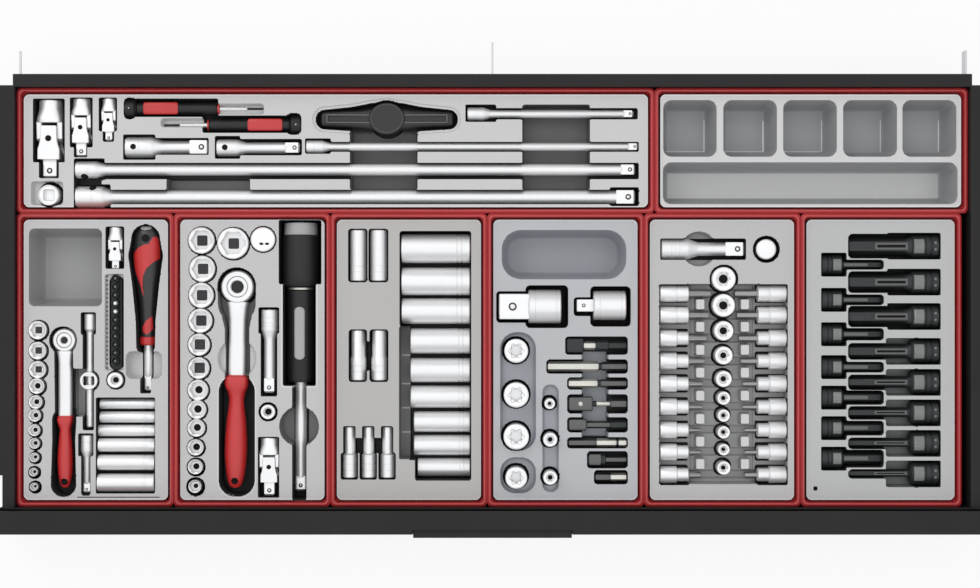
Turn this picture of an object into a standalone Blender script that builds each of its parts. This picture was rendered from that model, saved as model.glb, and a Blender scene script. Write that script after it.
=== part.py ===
"""Wide drawer of a tool cart, on its runners, with eight lift-out trays and the tools in them.

The origin is in the middle of the underside of the drawer pan. +X is the user's right, -Y is the
front, where the pull is, and +Z is up. Places inside a tray are read from the photograph's pixels
through the pixel window that the tray fills, so they follow the tray's own size.
"""

import bpy
import bmesh
from math import cos, pi, sqrt
from mathutils import Matrix, Vector

# Fits
CLEARANCE = 0.0003
OVERRUN = 0.002
POCKET_GAP = 0.0012
MERGE_DISTANCE = 0.00001

# Trays and the inserts in them
TRAY_COUNT = 6
TRAY_WIDTH = 0.1407
TRAY_DEPTH = 0.2637
TRAY_HEIGHT = 0.0505
TRAY_WALL = 0.0022
TRAY_SHEET = 0.002
TRAY_GAP = 0.0006
UPPER_TRAY_DEPTH = 0.1125
LONG_TRAY_WIDTH = 0.574
INSERT_MARGIN = 0.0046
INSERT_DROP = 0.004
INSERT_CORNER = 0.008
SIDE_SPARE = 0.0095

# Drawer pan
SHEET = 0.0012
PAN_HEIGHT = 0.058
SIDE_FLANGE = 0.0124
SIDE_FLANGE_CUT_BACK = 0.003
REAR_FLANGE = 0.0101

# Drawer front and its pull
FRONT_WIDTH = 0.892
FRONT_HEIGHT = 0.068
FRONT_THICKNESS = 0.021
FRONT_SHEET = 0.0012
PULL_WIDTH = 0.1417
PULL_HEIGHT = 0.026
PULL_PLATE = 0.003
PULL_LIP_REACH = 0.0035
PULL_LIP_THICKNESS = 0.0025
PULL_TOP_DROP = 0.0025
PULL_CHAMFER = 0.0008
NOTCH_DEPTH = 0.0062

# Runners
RUNNER_LENGTH = 0.350
RUNNER_HEIGHT = 0.045
RUNNER_THICKNESS = 0.0127
RUNNER_SHEET = 0.0015
RUNNER_RACE = 0.0041
RUNNER_AXIS_HEIGHT = 0.030
DRAWER_MEMBER_REACH = 0.005
MIDDLE_MEMBER_REACH = 0.0067
CABINET_MEMBER_REACH = 0.0077
TAB_LENGTH = 0.0345
LEFT_TAB_HEIGHT = 0.004
RIGHT_TAB_HEIGHT = 0.012

# Lock catch at the back
CATCH_THICKNESS = 0.002
CATCH_REACH = 0.0385
CATCH_HEIGHT = 0.012
CATCH_FOOT_WIDTH = 0.016
CATCH_FOOT_HEIGHT = 0.024
CATCH_FOOT_THICKNESS = 0.002
CATCH_TOP_DROP = 0.0006

# Square drives, and the round ends that take them
HALF_SQUARE = 0.0127
HALF_SOCKET_RADIUS = 0.0098
HALF_SOCKET_LENGTH = 0.0245
HALF_SHAFT_RADIUS = 0.0062
THREE_EIGHTHS_SQUARE = 0.0095
THREE_EIGHTHS_SOCKET_RADIUS = 0.0078
THREE_EIGHTHS_SOCKET_LENGTH = 0.019
THREE_EIGHTHS_SHAFT_RADIUS = 0.0052
QUARTER_SQUARE = 0.0063
QUARTER_SOCKET_RADIUS = 0.006
QUARTER_SOCKET_LENGTH = 0.015
QUARTER_SHAFT_RADIUS = 0.0036
SQUARE_LENGTH_SHARE = 1.25
SQUARE_HOLE_SHARE = 1.3

# Lengths of the bars
SHORT_BAR = 0.075
MIDDLE_BAR = 0.150
LONG_BAR = 0.300
LONGEST_BAR = 0.506

# Universal joints: length and radius
HALF_JOINT_LENGTH = 0.070
HALF_JOINT_RADIUS = 0.0122
THREE_EIGHTHS_JOINT_LENGTH = 0.052
THREE_EIGHTHS_JOINT_RADIUS = 0.0092
QUARTER_JOINT_LENGTH = 0.038
QUARTER_JOINT_RADIUS = 0.0066
YOKE_INNER_SHARE = 0.62
YOKE_OUTER_SHARE = 0.92
YOKE_END_SHARE = 0.4
YOKE_ROOT_SHARE = 1.2
YOKE_WIDTH_SHARE = 0.48
PIVOT_SHARE = 0.61
JOINT_PIN_SHARE = 0.26
JOINT_PIN_REACH_SHARE = 0.96

# Ratchets
QUARTER_RATCHET_LENGTH = 0.150
QUARTER_RATCHET_HEAD = 0.0108
QUARTER_RATCHET_GRIP = 0.0093
THREE_EIGHTHS_RATCHET_LENGTH = 0.200
THREE_EIGHTHS_RATCHET_HEAD = 0.0149
THREE_EIGHTHS_RATCHET_GRIP = 0.0112
RATCHET_HEAD_HEIGHT_SHARE = 0.85
RATCHET_DRIVE_SHARE = 0.62
HANG_HOLE_SHARE = 0.4

# T-bar and its slider
TEE_BAR_LENGTH = 0.103
TEE_BAR_RADIUS = 0.0034
TEE_BAR_KNOB = 0.0052
TEE_BAR_KNOB_LENGTH = 0.015
SLIDER_RADIUS = 0.0079
SLIDER_HEIGHT = 0.013

# Turned handles
SPINNER_LENGTH = 0.150
SPINNER_RADIUS = 0.0144
TORQUE_LENGTH = 0.185
TORQUE_GRIP_RADIUS = 0.0134
TORQUE_KNOB_LENGTH = 0.0585
TORQUE_KNOB_RADIUS = 0.018
TORQUE_SPIGOT_RADIUS = 0.006
TORQUE_SPIGOT_LENGTH = 0.020
DRIVER_LENGTH = 0.127
DRIVER_RADIUS = 0.0095
TEE_HANDLE_LENGTH = 0.1215
TEE_HANDLE_ARM = 0.0092
TEE_HANDLE_BOSS = 0.0155
TEE_HANDLE_BOSS_HEIGHT = 0.022

# Tools standing up or lying in rows
TOOL_PROUD = 0.001
STAND_PROUD = 0.002
STAND_HEIGHT = 0.026
SMALL_STAND_HEIGHT = 0.022
RAIL_HEIGHT = 0.002
RAIL_RAISE = 0.0005
SOCKET_BORE_SHARE = 0.6
SOCKET_BORE_DEPTH = 0.010
BIT_RACK_WIDTH = 0.0145
BIT_RACK_LENGTH = 0.087
BIT_RACK_HEIGHT = 0.012
BIT_RADIUS = 0.003
BIT_PROUD = 0.006
BIT_COUNT = 11
BIT_LAP_SHARE = 0.1

# Bit sockets of trays g and h: whole length, drive end, and the radii along them
BIT_LENGTH_G = 0.0397
BIT_DRIVE_G = 0.0157
BIT_RADIUS_G = 0.0077
BIT_NOSE_RADIUS_G = 0.0055
BIT_TIP_RADIUS_G = 0.002
BIT_LENGTH_LEFT_H = 0.0553
BIT_DRIVE_LEFT_H = 0.0217
BIT_LENGTH_RIGHT_H = 0.0793
BIT_DRIVE_RIGHT_H = 0.0244
BIT_RADIUS_H = 0.0092
BIT_NOSE_RADIUS_H = 0.0041
BIT_TIP_RADIUS_H = 0.0037

# Storage compartments
COMPARTMENT_DEPTH = 0.035
COMPARTMENT_CORNER = 0.005
FINGER_DEPTH = 0.024

# Sides of the round pieces
BAR_SIDES = 10
HANDLE_SIDES = 14
ROW_SIDES = 8
LYING_SIDES = 8
BIT_SIDES = 6
CORNER_STEPS = 2

# Pixel windows of the photograph that the trays fill: left, top, right, bottom
WINDOWS_PX = {
    "a": (17, 88, 655, 213),
    "b": (657, 88, 970, 213),
    "c": (17, 213.5, 174, 506.5),
    "d": (174, 213.5, 331, 506.5),
    "e": (331, 213.5, 488, 506.5),
    "f": (483, 213.5, 640, 506.5),
    "g": (645, 213.5, 802, 506.5),
    "h": (802, 213.5, 961, 506.5),
}

# Pixel boxes of the open compartments and of the finger recesses
COMPARTMENTS_PX = {
    "b": (
        (664, 98, 717, 156),
        (725, 98, 777, 156),
        (784, 98, 837, 156),
        (844, 98, 898, 156),
        (905, 98, 959, 156),
        (664, 162, 959, 203),
    ),
    "c": ((29, 227, 103, 306),),
    "f": ((499.5, 229, 625, 278),),
}
FINGER_RECESSES_PX = {
    "a": ((350, 129, 418, 190), (523, 103, 590, 190), (163, 178, 250, 192)),
    "c": ((72, 368, 84, 416), (126, 351, 163, 377)),
    "d": ((280, 408, 319, 444),),
    "g": ((684, 231, 713, 265),),
}

# Pixel places of the heads of the single tools
HALF_JOINT_PX = (47.4, 99)
THREE_EIGHTHS_JOINT_PX = (79.5, 98)
QUARTER_JOINT_PX = (107.5, 98)
DRIVER_LEFT_PX = (122, 107.5)
DRIVER_RIGHT_PX = (305, 124)
ADAPTOR_A_PX = (48.2, 195)
ADAPTOR_A_RADIUS_PX = 11
SHORT_HALF_BAR_PX = (124, 146.3)
SHORT_THREE_EIGHTHS_BAR_PX = (216, 146)
TEE_HANDLE_PX = (387, 118)
MIDDLE_BAR_PX = (468, 113)
LONG_BAR_PX = (306, 146)
UPPER_LONGEST_BAR_PX = (74, 169)
LOWER_LONGEST_BAR_PX = (74, 196.5)
QUARTER_RATCHET_PX = (63.8, 339.7)
TEE_BAR_PX = (90, 313)
SLIDER_PX = (90, 380.3)
SPINNER_PX = (147, 224.5)
SMALL_JOINT_PX = (116, 226.5)
BIT_RACK_PX = (115.5, 320.5)
SMALL_ADAPTOR_PX = (116, 379.5)
SMALL_ADAPTOR_RADIUS_PX = 8
THREE_EIGHTHS_RATCHET_PX = (236.6, 286)
SHORT_BAR_D_PX = (269, 309)
ADAPTOR_D_PX = (268.3, 411.4)
ADAPTOR_D_RADIUS_PX = 7
JOINT_D_PX = (269, 438)
TORQUE_PX = (299.5, 221)
SHORT_BAR_G_PX = (661, 248)
CAP_G_PX = (766, 248.4)
CAP_G_RADIUS_PX = 10.8

# Standing sockets: pixel column x at the top and at the foot, then each one's y and radius
QUARTER_STAND_PX = (39.5, 34.8)
QUARTER_STAND_PLACES_PX = (
    (328.8, 9.6), (349.4, 9), (369.3, 8.6), (385.9, 7.6), (401.7, 7.2), (415.6, 6.2),
    (429.8, 6.2), (443, 6), (457, 5.8), (472, 5.6), (486.8, 5.3),
)
THREE_EIGHTHS_STAND_PX = (201, 195)
THREE_EIGHTHS_STAND_PLACES_PX = (
    (239.6, 12.9), (267.7, 12.6), (294.7, 12.3), (320, 11.4), (343.5, 11), (367.2, 10.8),
    (389.6, 9.9), (409.1, 9), (428, 9), (447, 8.9), (466.5, 8.5), (486.6, 8),
)
BIG_STAND_PX = (233, 242.5)
BIG_STAND_RADIUS_PX = 15
DISC_PX = (263.3, 238.5)
DISC_RADIUS_PX = 12.4
TORX_STAND_PX = (514, 514)
TORX_STAND_PLACES_PX = ((350, 11.4), (394, 12.5), (435.6, 12.5), (476.6, 10.5))
SMALL_STAND_PX = (548, 548)
SMALL_STAND_PLACES_PX = ((402.6, 5.5), (438.4, 7), (476.3, 9))
CENTRE_STAND_PX = (723.3, 723.3)
CENTRE_STAND_PLACES_PX = (
    (278.2, 11.9), (304.7, 11.4), (330.2, 9.8), (354.9, 9.2), (378.4, 8.1), (397.7, 6.5),
    (415.1, 6), (431.9, 6), (449.2, 5.4), (467.6, 5.4),
)

# Lying sockets and bits: pixel boxes, each left, top, right, bottom
QUARTER_DEEP_PX = (
    (99, 398, 156, 409), (99, 411, 156, 422), (99, 425, 156, 437),
    (99, 438.5, 156, 452), (99, 455, 156, 470), (99, 474, 156, 490),
)
QUARTER_EXTENSION_PX = (80.5, 435, 92.5, 493)
DEEP_LEFT_PX = (
    (349.5, 229, 366, 280), (370, 229, 387.5, 280), (350, 330, 366, 380),
    (371, 330, 387.5, 380), (342, 427, 357, 478), (361, 427, 376, 478),
    (380, 427, 395, 478),
)
DEEP_RIGHT_PX = (
    (401.5, 233, 471, 261), (401.5, 267, 471, 294), (401.5, 298, 471, 323),
    (410.7, 329, 471, 353), (410.7, 359, 471, 382), (410.7, 387, 471, 407),
    (414, 413, 471, 432), (414, 437, 471, 456), (417.6, 460, 471, 477),
)
BITS_F_PX = (
    (565, 337, 625, 353), (546, 360, 625, 372), (567, 378, 625, 388), (567, 395, 625, 412),
    (567, 418, 625, 431), (567, 438, 625, 447), (587, 452, 625, 467), (594, 471, 625, 483),
)
ADAPTORS_F_PX = ((526, 288.5, 561, 322.6), (591, 290, 625, 319))
ADAPTOR_SQUARES_F_PX = ((496, 293, 528, 320), (574.5, 300, 593, 313))
BIT_ROWS_G_PX = (292.8, 314.5, 337.8, 360.8, 383.6, 406.9, 430.2, 452.5, 475.2)
BIT_ENDS_G_PX = (659.5, 787)
BIT_ROWS_RIGHT_H_PX = (245.2, 281.3, 315.8, 350.8, 381.9, 412.5, 443.1, 473.7)
BIT_ROWS_LEFT_H_PX = (263.8, 299.1, 333.6, 366.6, 397.2, 427.8, 458.4)
BIT_ENDS_H_PX = (821.5, 940.6)

# Ties between neighbours that share a node, as pixel boxes
TIE_ADAPTOR_A_PX = (52, 195, 77, 199)
TIE_JOINT_C_PX = (114, 263, 118, 275)
TIE_ADAPTOR_C_PX = (114, 366, 118, 376)
TIE_D_PX = (267, 388, 271, 441)
TIE_CAP_G_PX = (740, 246, 760, 250)

# Rails that tie a row of tools together, as pixel boxes
RAILS_C_PX = ((125, 400, 129, 488), (86, 444, 127, 448))
RAILS_D_PX = ((198, 238.5, 263, 243),)
NARROW_RAIL_HALF_PX = 2
WIDE_RAIL_HALF_PX = 3
RAILS_E_LEFT_PX = (
    (366, 252, 371, 454), (352, 252, 386, 256), (352, 353, 387, 357), (345, 450, 392, 454),
)
RAILS_E_RIGHT_PX = ((424, 236, 428, 475),)
RAILS_F_PX = (
    (512, 303, 516, 480), (512, 303, 600, 307), (514, 436.5, 548, 440.5), (546, 400, 550, 479),
)
RAILS_F_BITS_PX = ((606, 339, 610, 480),)
RAILS_G_PX = (
    (664, 288, 668, 480), (778, 288, 782, 480), (721, 276, 725, 470), (666, 440, 780, 444),
)
RAILS_H_PX = ((925, 243, 929, 476), (832, 262, 836, 460), (834, 395, 927, 399))

# Shares of a turned handle: place along its length, then radius as a share of the widest
SPINNER_GRIP_END_SHARE = 0.725
SPINNER_SHAFT_SHARE = 0.22
SPINNER_PROFILE_SHARES = (
    (0.0, 0.0), (0.0, 0.55), (0.03, 0.86), (0.18, 1.0), (0.34, 0.9), (0.50, 0.62),
    (0.58, 0.53), (0.66, 0.6), (0.69, 0.6), (SPINNER_GRIP_END_SHARE, 0.44),
    (SPINNER_GRIP_END_SHARE, SPINNER_SHAFT_SHARE), (0.93, SPINNER_SHAFT_SHARE), (0.93, 0.0),
)
DRIVER_CAP_SHARE = 0.1
DRIVER_BODY_SHARE = 0.68
DRIVER_WAIST_SHARE = 0.66
DRIVER_SHAFT_SHARE = 0.3
DRIVER_PROFILE_SHARES = (
    (0.0, 0.0), (0.0, 0.9), (0.03, 1.0), (0.085, 1.0), (DRIVER_CAP_SHARE, 0.5),
    (0.12, DRIVER_WAIST_SHARE), (0.66, DRIVER_WAIST_SHARE),
    (DRIVER_BODY_SHARE, DRIVER_SHAFT_SHARE), (0.88, 0.26), (0.88, 0.14), (1.0, 0.12),
    (1.0, 0.0),
)
TORQUE_GRIP_END_SHARE = 0.47
TORQUE_SHAFT_SHARE = 0.38
TORQUE_PROFILE_SHARES = (
    (0.0, 0.0), (0.0, 0.95), (0.03, 1.0), (0.46, 1.0), (TORQUE_GRIP_END_SHARE, 0.8),
    (TORQUE_GRIP_END_SHARE, TORQUE_SHAFT_SHARE), (0.93, TORQUE_SHAFT_SHARE), (0.93, 0.0),
)
TORQUE_KNOB_SHARES = (
    (0.0, 0.0), (0.0, 0.82), (0.04, 0.98), (0.2, 1.0), (0.2, 0.92), (0.24, 1.0),
    (0.9, 1.0), (0.93, 0.85), (1.0, 0.85), (1.0, 0.0),
)
RATCHET_GRIP_SHARES = (
    (0.0, 0.0), (0.0, 0.62), (0.45, 0.60), (0.45, 1.0), (0.49, 1.0), (0.54, 0.72),
    (0.74, 1.0), (0.96, 0.98), (1.0, 0.7), (1.0, 0.0),
)
TEE_ARM_SHARES = (
    (0.0, 0.0), (0.0, 0.8), (0.05, 1.0), (0.40, 1.0), (0.60, 1.0), (0.95, 1.0),
    (1.0, 0.8), (1.0, 0.0),
)

# Sizes that follow from the ones above
PAN_INNER_WIDTH = TRAY_COUNT * (TRAY_WIDTH + TRAY_GAP) + TRAY_GAP + SIDE_SPARE
PAN_INNER_DEPTH = TRAY_DEPTH + UPPER_TRAY_DEPTH + 3 * TRAY_GAP
SHORT_TRAY_WIDTH = PAN_INNER_WIDTH - LONG_TRAY_WIDTH - 3 * TRAY_GAP
TRAY_BASE = SHEET + CLEARANCE
RIM_TOP = TRAY_BASE + TRAY_HEIGHT
INSERT_BASE = TRAY_BASE + TRAY_SHEET + CLEARANCE
INSERT_TOP = RIM_TOP - INSERT_DROP
WALL_X = PAN_INNER_WIDTH / 2 + SHEET
REAR_Y = PAN_INNER_DEPTH / 2 + SHEET
FRONT_Y = -REAR_Y
FRONT_BACK_Y = FRONT_Y - CLEARANCE
FRONT_FACE_Y = FRONT_BACK_Y - FRONT_THICKNESS
RUNNER_FRONT_Y = REAR_Y - RUNNER_LENGTH

RIGHT = Vector((1, 0, 0))
LEFT = Vector((-1, 0, 0))
FRONTWARD = Vector((0, -1, 0))
UP = Vector((0, 0, 1))


# Scene and finishes

for old in list(bpy.data.objects):
    bpy.data.objects.remove(old, do_unlink=True)

PARTS = bpy.data.collections.new("tool_cart_drawer")
CUTTERS = bpy.data.collections.new("cutters")
bpy.context.scene.collection.children.link(PARTS)
bpy.context.scene.collection.children.link(CUTTERS)


def finish(name, colour, roughness, metallic):
    """A plain Principled material."""
    made = bpy.data.materials.new(name)
    made.use_nodes = True
    shader = made.node_tree.nodes["Principled BSDF"]
    shader.inputs["Base Color"].default_value = (*colour, 1)
    shader.inputs["Roughness"].default_value = roughness
    shader.inputs["Metallic"].default_value = metallic
    made.diffuse_color = (*colour, 1)
    return made


CHARCOAL = finish("charcoal_powder_coat", (0.035, 0.035, 0.037), 0.6, 0.0)
ZINC = finish("zinc_plate", (0.5, 0.5, 0.52), 0.35, 1.0)
RED_PLASTIC = finish("red_plastic", (0.36, 0.02, 0.03), 0.4, 0.0)
GREY_INSERT = finish("grey_insert", (0.5, 0.5, 0.5), 0.6, 0.0)
CHROME = finish("chrome", (0.75, 0.75, 0.76), 0.12, 1.0)
BLACK_STEEL = finish("black_steel", (0.04, 0.045, 0.045), 0.4, 1.0)
BLACK_GRIP = finish("black_grip", (0.02, 0.02, 0.02), 0.55, 0.0)
RED_GRIP = finish("red_grip", (0.55, 0.03, 0.03), 0.35, 0.0)


# Shapes

def new_object(name, mesh, look, seat=None):
    """Put a mesh in the model under a name, a finish and a place."""
    item = bpy.data.objects.new(name, mesh)
    item.matrix_world = seat if seat else Matrix()
    mesh.materials.append(look)
    PARTS.objects.link(item)
    return item


def box_mesh(name, boxes):
    """One mesh of boxes that stand apart, each given by its low and high corners."""
    form = bmesh.new()
    for low, high in boxes:
        low = Vector(low)
        high = Vector(high)
        stretch = Matrix.Diagonal((*(high - low), 1))
        bmesh.ops.create_cube(form, size=1, matrix=Matrix.Translation((low + high) / 2) @ stretch)
    mesh = bpy.data.meshes.new(name)
    form.to_mesh(mesh)
    form.free()
    return mesh


def rod_mesh(name, rods, sides):
    """One mesh of round rods that stand apart, each given by its ends and its two radii."""
    form = bmesh.new()
    for start, end, start_radius, end_radius in rods:
        start = Vector(start)
        run = Vector(end) - start
        turn = run.to_track_quat("Z", "Y").to_matrix().to_4x4()
        bmesh.ops.create_cone(
            form, cap_ends=True, segments=sides, radius1=start_radius, radius2=end_radius,
            depth=run.length, matrix=Matrix.Translation(start + run / 2) @ turn)
    mesh = bpy.data.meshes.new(name)
    form.to_mesh(mesh)
    form.free()
    mesh.shade_smooth()
    mesh.set_sharp_from_angle()
    return mesh


def box(name, low, high, look, seat=None):
    return new_object(name, box_mesh(name, [(low, high)]), look, seat)


def turned(name, profile, look, seat, sides):
    """Turn a profile of (distance from the head, radius) points about the tool's axis."""
    mesh = bpy.data.meshes.new(name)
    points = [(radius, 0, -distance) for distance, radius in profile]
    edges = [(i, i + 1) for i in range(len(points) - 1)]
    mesh.from_pydata(points, edges, [])
    item = new_object(name, mesh, look, seat)
    screw = item.modifiers.new("turn", "SCREW")
    screw.steps = sides
    screw.render_steps = sides
    screw.use_merge_vertices = True
    screw.merge_threshold = MERGE_DISTANCE
    screw.use_smooth_shade = True
    return item


def helper(item):
    """Move an object among the cutters."""
    PARTS.objects.unlink(item)
    CUTTERS.objects.link(item)
    item.hide_render = True
    item.display_type = "WIRE"
    return item


def boolean(target, operation, *operands):
    """Cut or join other objects into one, in order."""
    for operand in operands:
        step = target.modifiers.new(operand.name, "BOOLEAN")
        step.operation = operation
        step.solver = "EXACT"
        step.object = helper(operand)
    return target


def cut(target, *operands):
    return boolean(target, "DIFFERENCE", *operands)


def join(target, *operands):
    return boolean(target, "UNION", *operands)


def edge_bevel(item, width, steps):
    bevel = item.modifiers.new("edges", "BEVEL")
    bevel.width = width
    bevel.segments = steps
    return bevel


def round_upright_edges(item, radius):
    """Round only the edges that stand upright, by weight."""
    mesh = item.data
    weights = mesh.attributes.new("bevel_weight_edge", "FLOAT", "EDGE")
    for edge in mesh.edges:
        first, second = (mesh.vertices[i].co for i in edge.vertices)
        weights.data[edge.index].value = float(abs(first.z - second.z) > MERGE_DISTANCE)
    bevel = edge_bevel(item, radius, CORNER_STEPS)
    bevel.limit_method = "WEIGHT"


# Trays

class Tray:
    """One lift-out tray: its place in the pan, its window in the photograph and its pockets."""

    def __init__(self, letter, left, front, width, depth):
        self.letter = letter
        self.left = left
        self.front = front
        self.width = width
        self.depth = depth
        self.pockets = []
        self.window = WINDOWS_PX[letter]

    def spot(self, place_px):
        """World x and y of a pixel of the photograph inside this tray."""
        left, top, right, bottom = self.window
        across = (place_px[0] - left) / (right - left)
        along = (bottom - place_px[1]) / (bottom - top)
        return self.left + across * self.width, self.front + along * self.depth

    def corners(self, box_px):
        """World low and high x and y of a pixel box."""
        low_x, high_y = self.spot(box_px[:2])
        high_x, low_y = self.spot(box_px[2:])
        return low_x, low_y, high_x, high_y

    def reach(self, length_px):
        """A pixel length across the tray as a real length."""
        left, _, right, _ = self.window
        return length_px / (right - left) * self.width

    def pocket(self, low_x, low_y, high_x, high_y, floor, corner=0):
        """Ask for a pocket in the insert, open at the top."""
        self.pockets.append((low_x, low_y, high_x, high_y, floor, corner))

    def seat(self, place_px, heading, radius):
        """Place of a lying tool: its head's spot, its axis running along the heading."""
        x, y = self.spot(place_px)
        turn = Matrix((heading.cross(UP), UP, -heading)).transposed().to_4x4()
        return Matrix.Translation((x, y, INSERT_TOP + TOOL_PROUD - radius)) @ turn

    def lying_pocket(self, place_px, heading, length, radius):
        """Pocket round a lying tool, from its head along its heading."""
        self.stepped_pocket(place_px, heading, ((0, length, radius),), radius)

    def stepped_pocket(self, place_px, heading, steps, widest):
        """Pocket that follows a lying tool: stretches of (near, far, radius) from its head."""
        head = Vector((*self.spot(place_px), 0))
        across = Vector((abs(heading.y), abs(heading.x)))
        axis_z = INSERT_TOP + TOOL_PROUD - widest
        for near, far, radius in steps:
            start = head + heading * near
            end = head + heading * far
            side = across * radius
            self.pocket(
                min(start.x, end.x) - side.x - POCKET_GAP,
                min(start.y, end.y) - side.y - POCKET_GAP,
                max(start.x, end.x) + side.x + POCKET_GAP,
                max(start.y, end.y) + side.y + POCKET_GAP,
                axis_z - radius - CLEARANCE)


def make_trays():
    trays = {}
    left = -PAN_INNER_WIDTH / 2 + TRAY_GAP
    front = -PAN_INNER_DEPTH / 2 + TRAY_GAP
    upper = front + TRAY_DEPTH + TRAY_GAP
    trays["a"] = Tray("a", left, upper, LONG_TRAY_WIDTH, UPPER_TRAY_DEPTH)
    after = left + LONG_TRAY_WIDTH + TRAY_GAP
    trays["b"] = Tray("b", after, upper, SHORT_TRAY_WIDTH, UPPER_TRAY_DEPTH)
    for index, letter in enumerate("cdefgh"):
        start = left + index * (TRAY_WIDTH + TRAY_GAP)
        trays[letter] = Tray(letter, start, front, TRAY_WIDTH, TRAY_DEPTH)
    return trays


def make_tray_body(tray):
    """Red tray: a thin-walled open box."""
    low = (tray.left, tray.front, TRAY_BASE)
    high = (tray.left + tray.width, tray.front + tray.depth, RIM_TOP)
    body = box("tray_" + tray.letter, low, high, RED_PLASTIC)
    hollow_low = (low[0] + TRAY_WALL, low[1] + TRAY_WALL, TRAY_BASE + TRAY_SHEET)
    hollow_high = (high[0] - TRAY_WALL, high[1] - TRAY_WALL, RIM_TOP + OVERRUN)
    cut(body, box("hollow_" + tray.letter, hollow_low, hollow_high, RED_PLASTIC))


def make_insert(tray):
    """Grey insert: a round-cornered block with a pocket for each tool."""
    low = (tray.left + INSERT_MARGIN, tray.front + INSERT_MARGIN, INSERT_BASE)
    high = (tray.left + tray.width - INSERT_MARGIN,
            tray.front + tray.depth - INSERT_MARGIN, INSERT_TOP)
    name = "insert_" + tray.letter
    insert = box(name, low, high, GREY_INSERT)
    round_upright_edges(insert, INSERT_CORNER)
    group = bpy.data.collections.new("pockets_" + tray.letter)
    CUTTERS.children.link(group)
    for number, (low_x, low_y, high_x, high_y, floor, corner) in enumerate(tray.pockets):
        pocket_name = "pocket_" + tray.letter + "_" + str(number)
        pocket = box(pocket_name, (low_x, low_y, floor),
                     (high_x, high_y, INSERT_TOP + OVERRUN), GREY_INSERT)
        if corner:
            round_upright_edges(pocket, corner)
        helper(pocket)
        CUTTERS.objects.unlink(pocket)
        group.objects.link(pocket)
    step = insert.modifiers.new("pockets", "BOOLEAN")
    step.operation = "DIFFERENCE"
    step.solver = "EXACT"
    step.operand_type = "COLLECTION"
    step.collection = group


def ask_open_spaces(tray):
    """Storage compartments and finger recesses."""
    for box_px in COMPARTMENTS_PX.get(tray.letter, ()):
        tray.pocket(*tray.corners(box_px), INSERT_TOP - COMPARTMENT_DEPTH, COMPARTMENT_CORNER)
    for box_px in FINGER_RECESSES_PX.get(tray.letter, ()):
        tray.pocket(*tray.corners(box_px), INSERT_TOP - FINGER_DEPTH, COMPARTMENT_CORNER)


# Drawer

def make_pan():
    """Folded sheet pan: floor, four walls and flanges turned out at the sides and the back."""
    pan = box("drawer_pan", (-WALL_X, FRONT_Y, 0), (WALL_X, REAR_Y, PAN_HEIGHT), CHARCOAL)
    inner_x = WALL_X - SHEET
    inner_y = REAR_Y - SHEET
    hollow = box("hollow_pan", (-inner_x, -inner_y, SHEET),
                 (inner_x, inner_y, PAN_HEIGHT + OVERRUN), CHARCOAL)
    under = PAN_HEIGHT - SHEET
    edge = WALL_X + SIDE_FLANGE
    narrow = edge - SIDE_FLANGE_CUT_BACK
    inside = WALL_X - SHEET / 2
    flanges = [box("flange_rear", (-WALL_X, REAR_Y - SHEET / 2, under),
                   (WALL_X, REAR_Y + REAR_FLANGE, PAN_HEIGHT), CHARCOAL)]
    for side in (-1, 1):
        wide_x = sorted((side * inside, side * edge))
        narrow_x = sorted((side * inside, side * narrow))
        flanges.append(box("flange_wide", (wide_x[0], RUNNER_FRONT_Y, under),
                           (wide_x[1], REAR_Y, PAN_HEIGHT), CHARCOAL))
        flanges.append(box("flange_narrow", (narrow_x[0], FRONT_Y, under),
                           (narrow_x[1], RUNNER_FRONT_Y + OVERRUN, PAN_HEIGHT), CHARCOAL))
    join(cut(pan, hollow), *flanges)


def make_front():
    """Hollow drawer front with a notch in its top edge, and the pull that sits in the notch."""
    half = FRONT_WIDTH / 2
    front = box("drawer_front", (-half, FRONT_FACE_Y, 0), (half, FRONT_BACK_Y, FRONT_HEIGHT),
                CHARCOAL)
    inner = box("hollow_front",
                (-half + FRONT_SHEET, FRONT_FACE_Y + FRONT_SHEET, FRONT_SHEET),
                (half - FRONT_SHEET, FRONT_BACK_Y + OVERRUN, FRONT_HEIGHT - FRONT_SHEET),
                CHARCOAL)
    pull_half = PULL_WIDTH / 2
    pull_top = FRONT_HEIGHT - PULL_TOP_DROP
    lip_y = FRONT_FACE_Y + PULL_LIP_REACH
    notch = box("notch_front",
                (-pull_half - CLEARANCE, FRONT_FACE_Y - OVERRUN, FRONT_HEIGHT - NOTCH_DEPTH),
                (pull_half + CLEARANCE, lip_y + CLEARANCE, FRONT_HEIGHT + OVERRUN), CHARCOAL)
    cut(front, inner, notch)
    plate_y = FRONT_FACE_Y - CLEARANCE
    outer_y = plate_y - PULL_PLATE
    pull = box("drawer_pull", (-pull_half, outer_y, pull_top - PULL_HEIGHT),
               (pull_half, plate_y, pull_top), CHARCOAL)
    lip = box("pull_lip", (-pull_half, outer_y + PULL_PLATE / 2, pull_top - PULL_LIP_THICKNESS),
              (pull_half, lip_y, pull_top), CHARCOAL)
    join(pull, lip)
    edge_bevel(pull, PULL_CHAMFER, 1)


def member(name, near, far, height, web_near, web_far, opens_out, front_y, side):
    """Runner member: a channel of two races and a web, at a distance out from the pan's wall."""
    low_z = RUNNER_AXIS_HEIGHT - height / 2
    high_z = RUNNER_AXIS_HEIGHT + height / 2

    def across(first, second):
        return sorted((side * (WALL_X + first), side * (WALL_X + second)))

    outer = across(near, far)
    body = box(name, (outer[0], front_y, low_z), (outer[1], REAR_Y, high_z), ZINC)
    trough = across(web_far, far + OVERRUN) if opens_out else across(near - OVERRUN, web_near)
    channel = box("channel_" + name, (trough[0], front_y - OVERRUN, low_z + RUNNER_RACE),
                  (trough[1], REAR_Y + OVERRUN, high_z - RUNNER_RACE), ZINC)
    return cut(body, channel)


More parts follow.
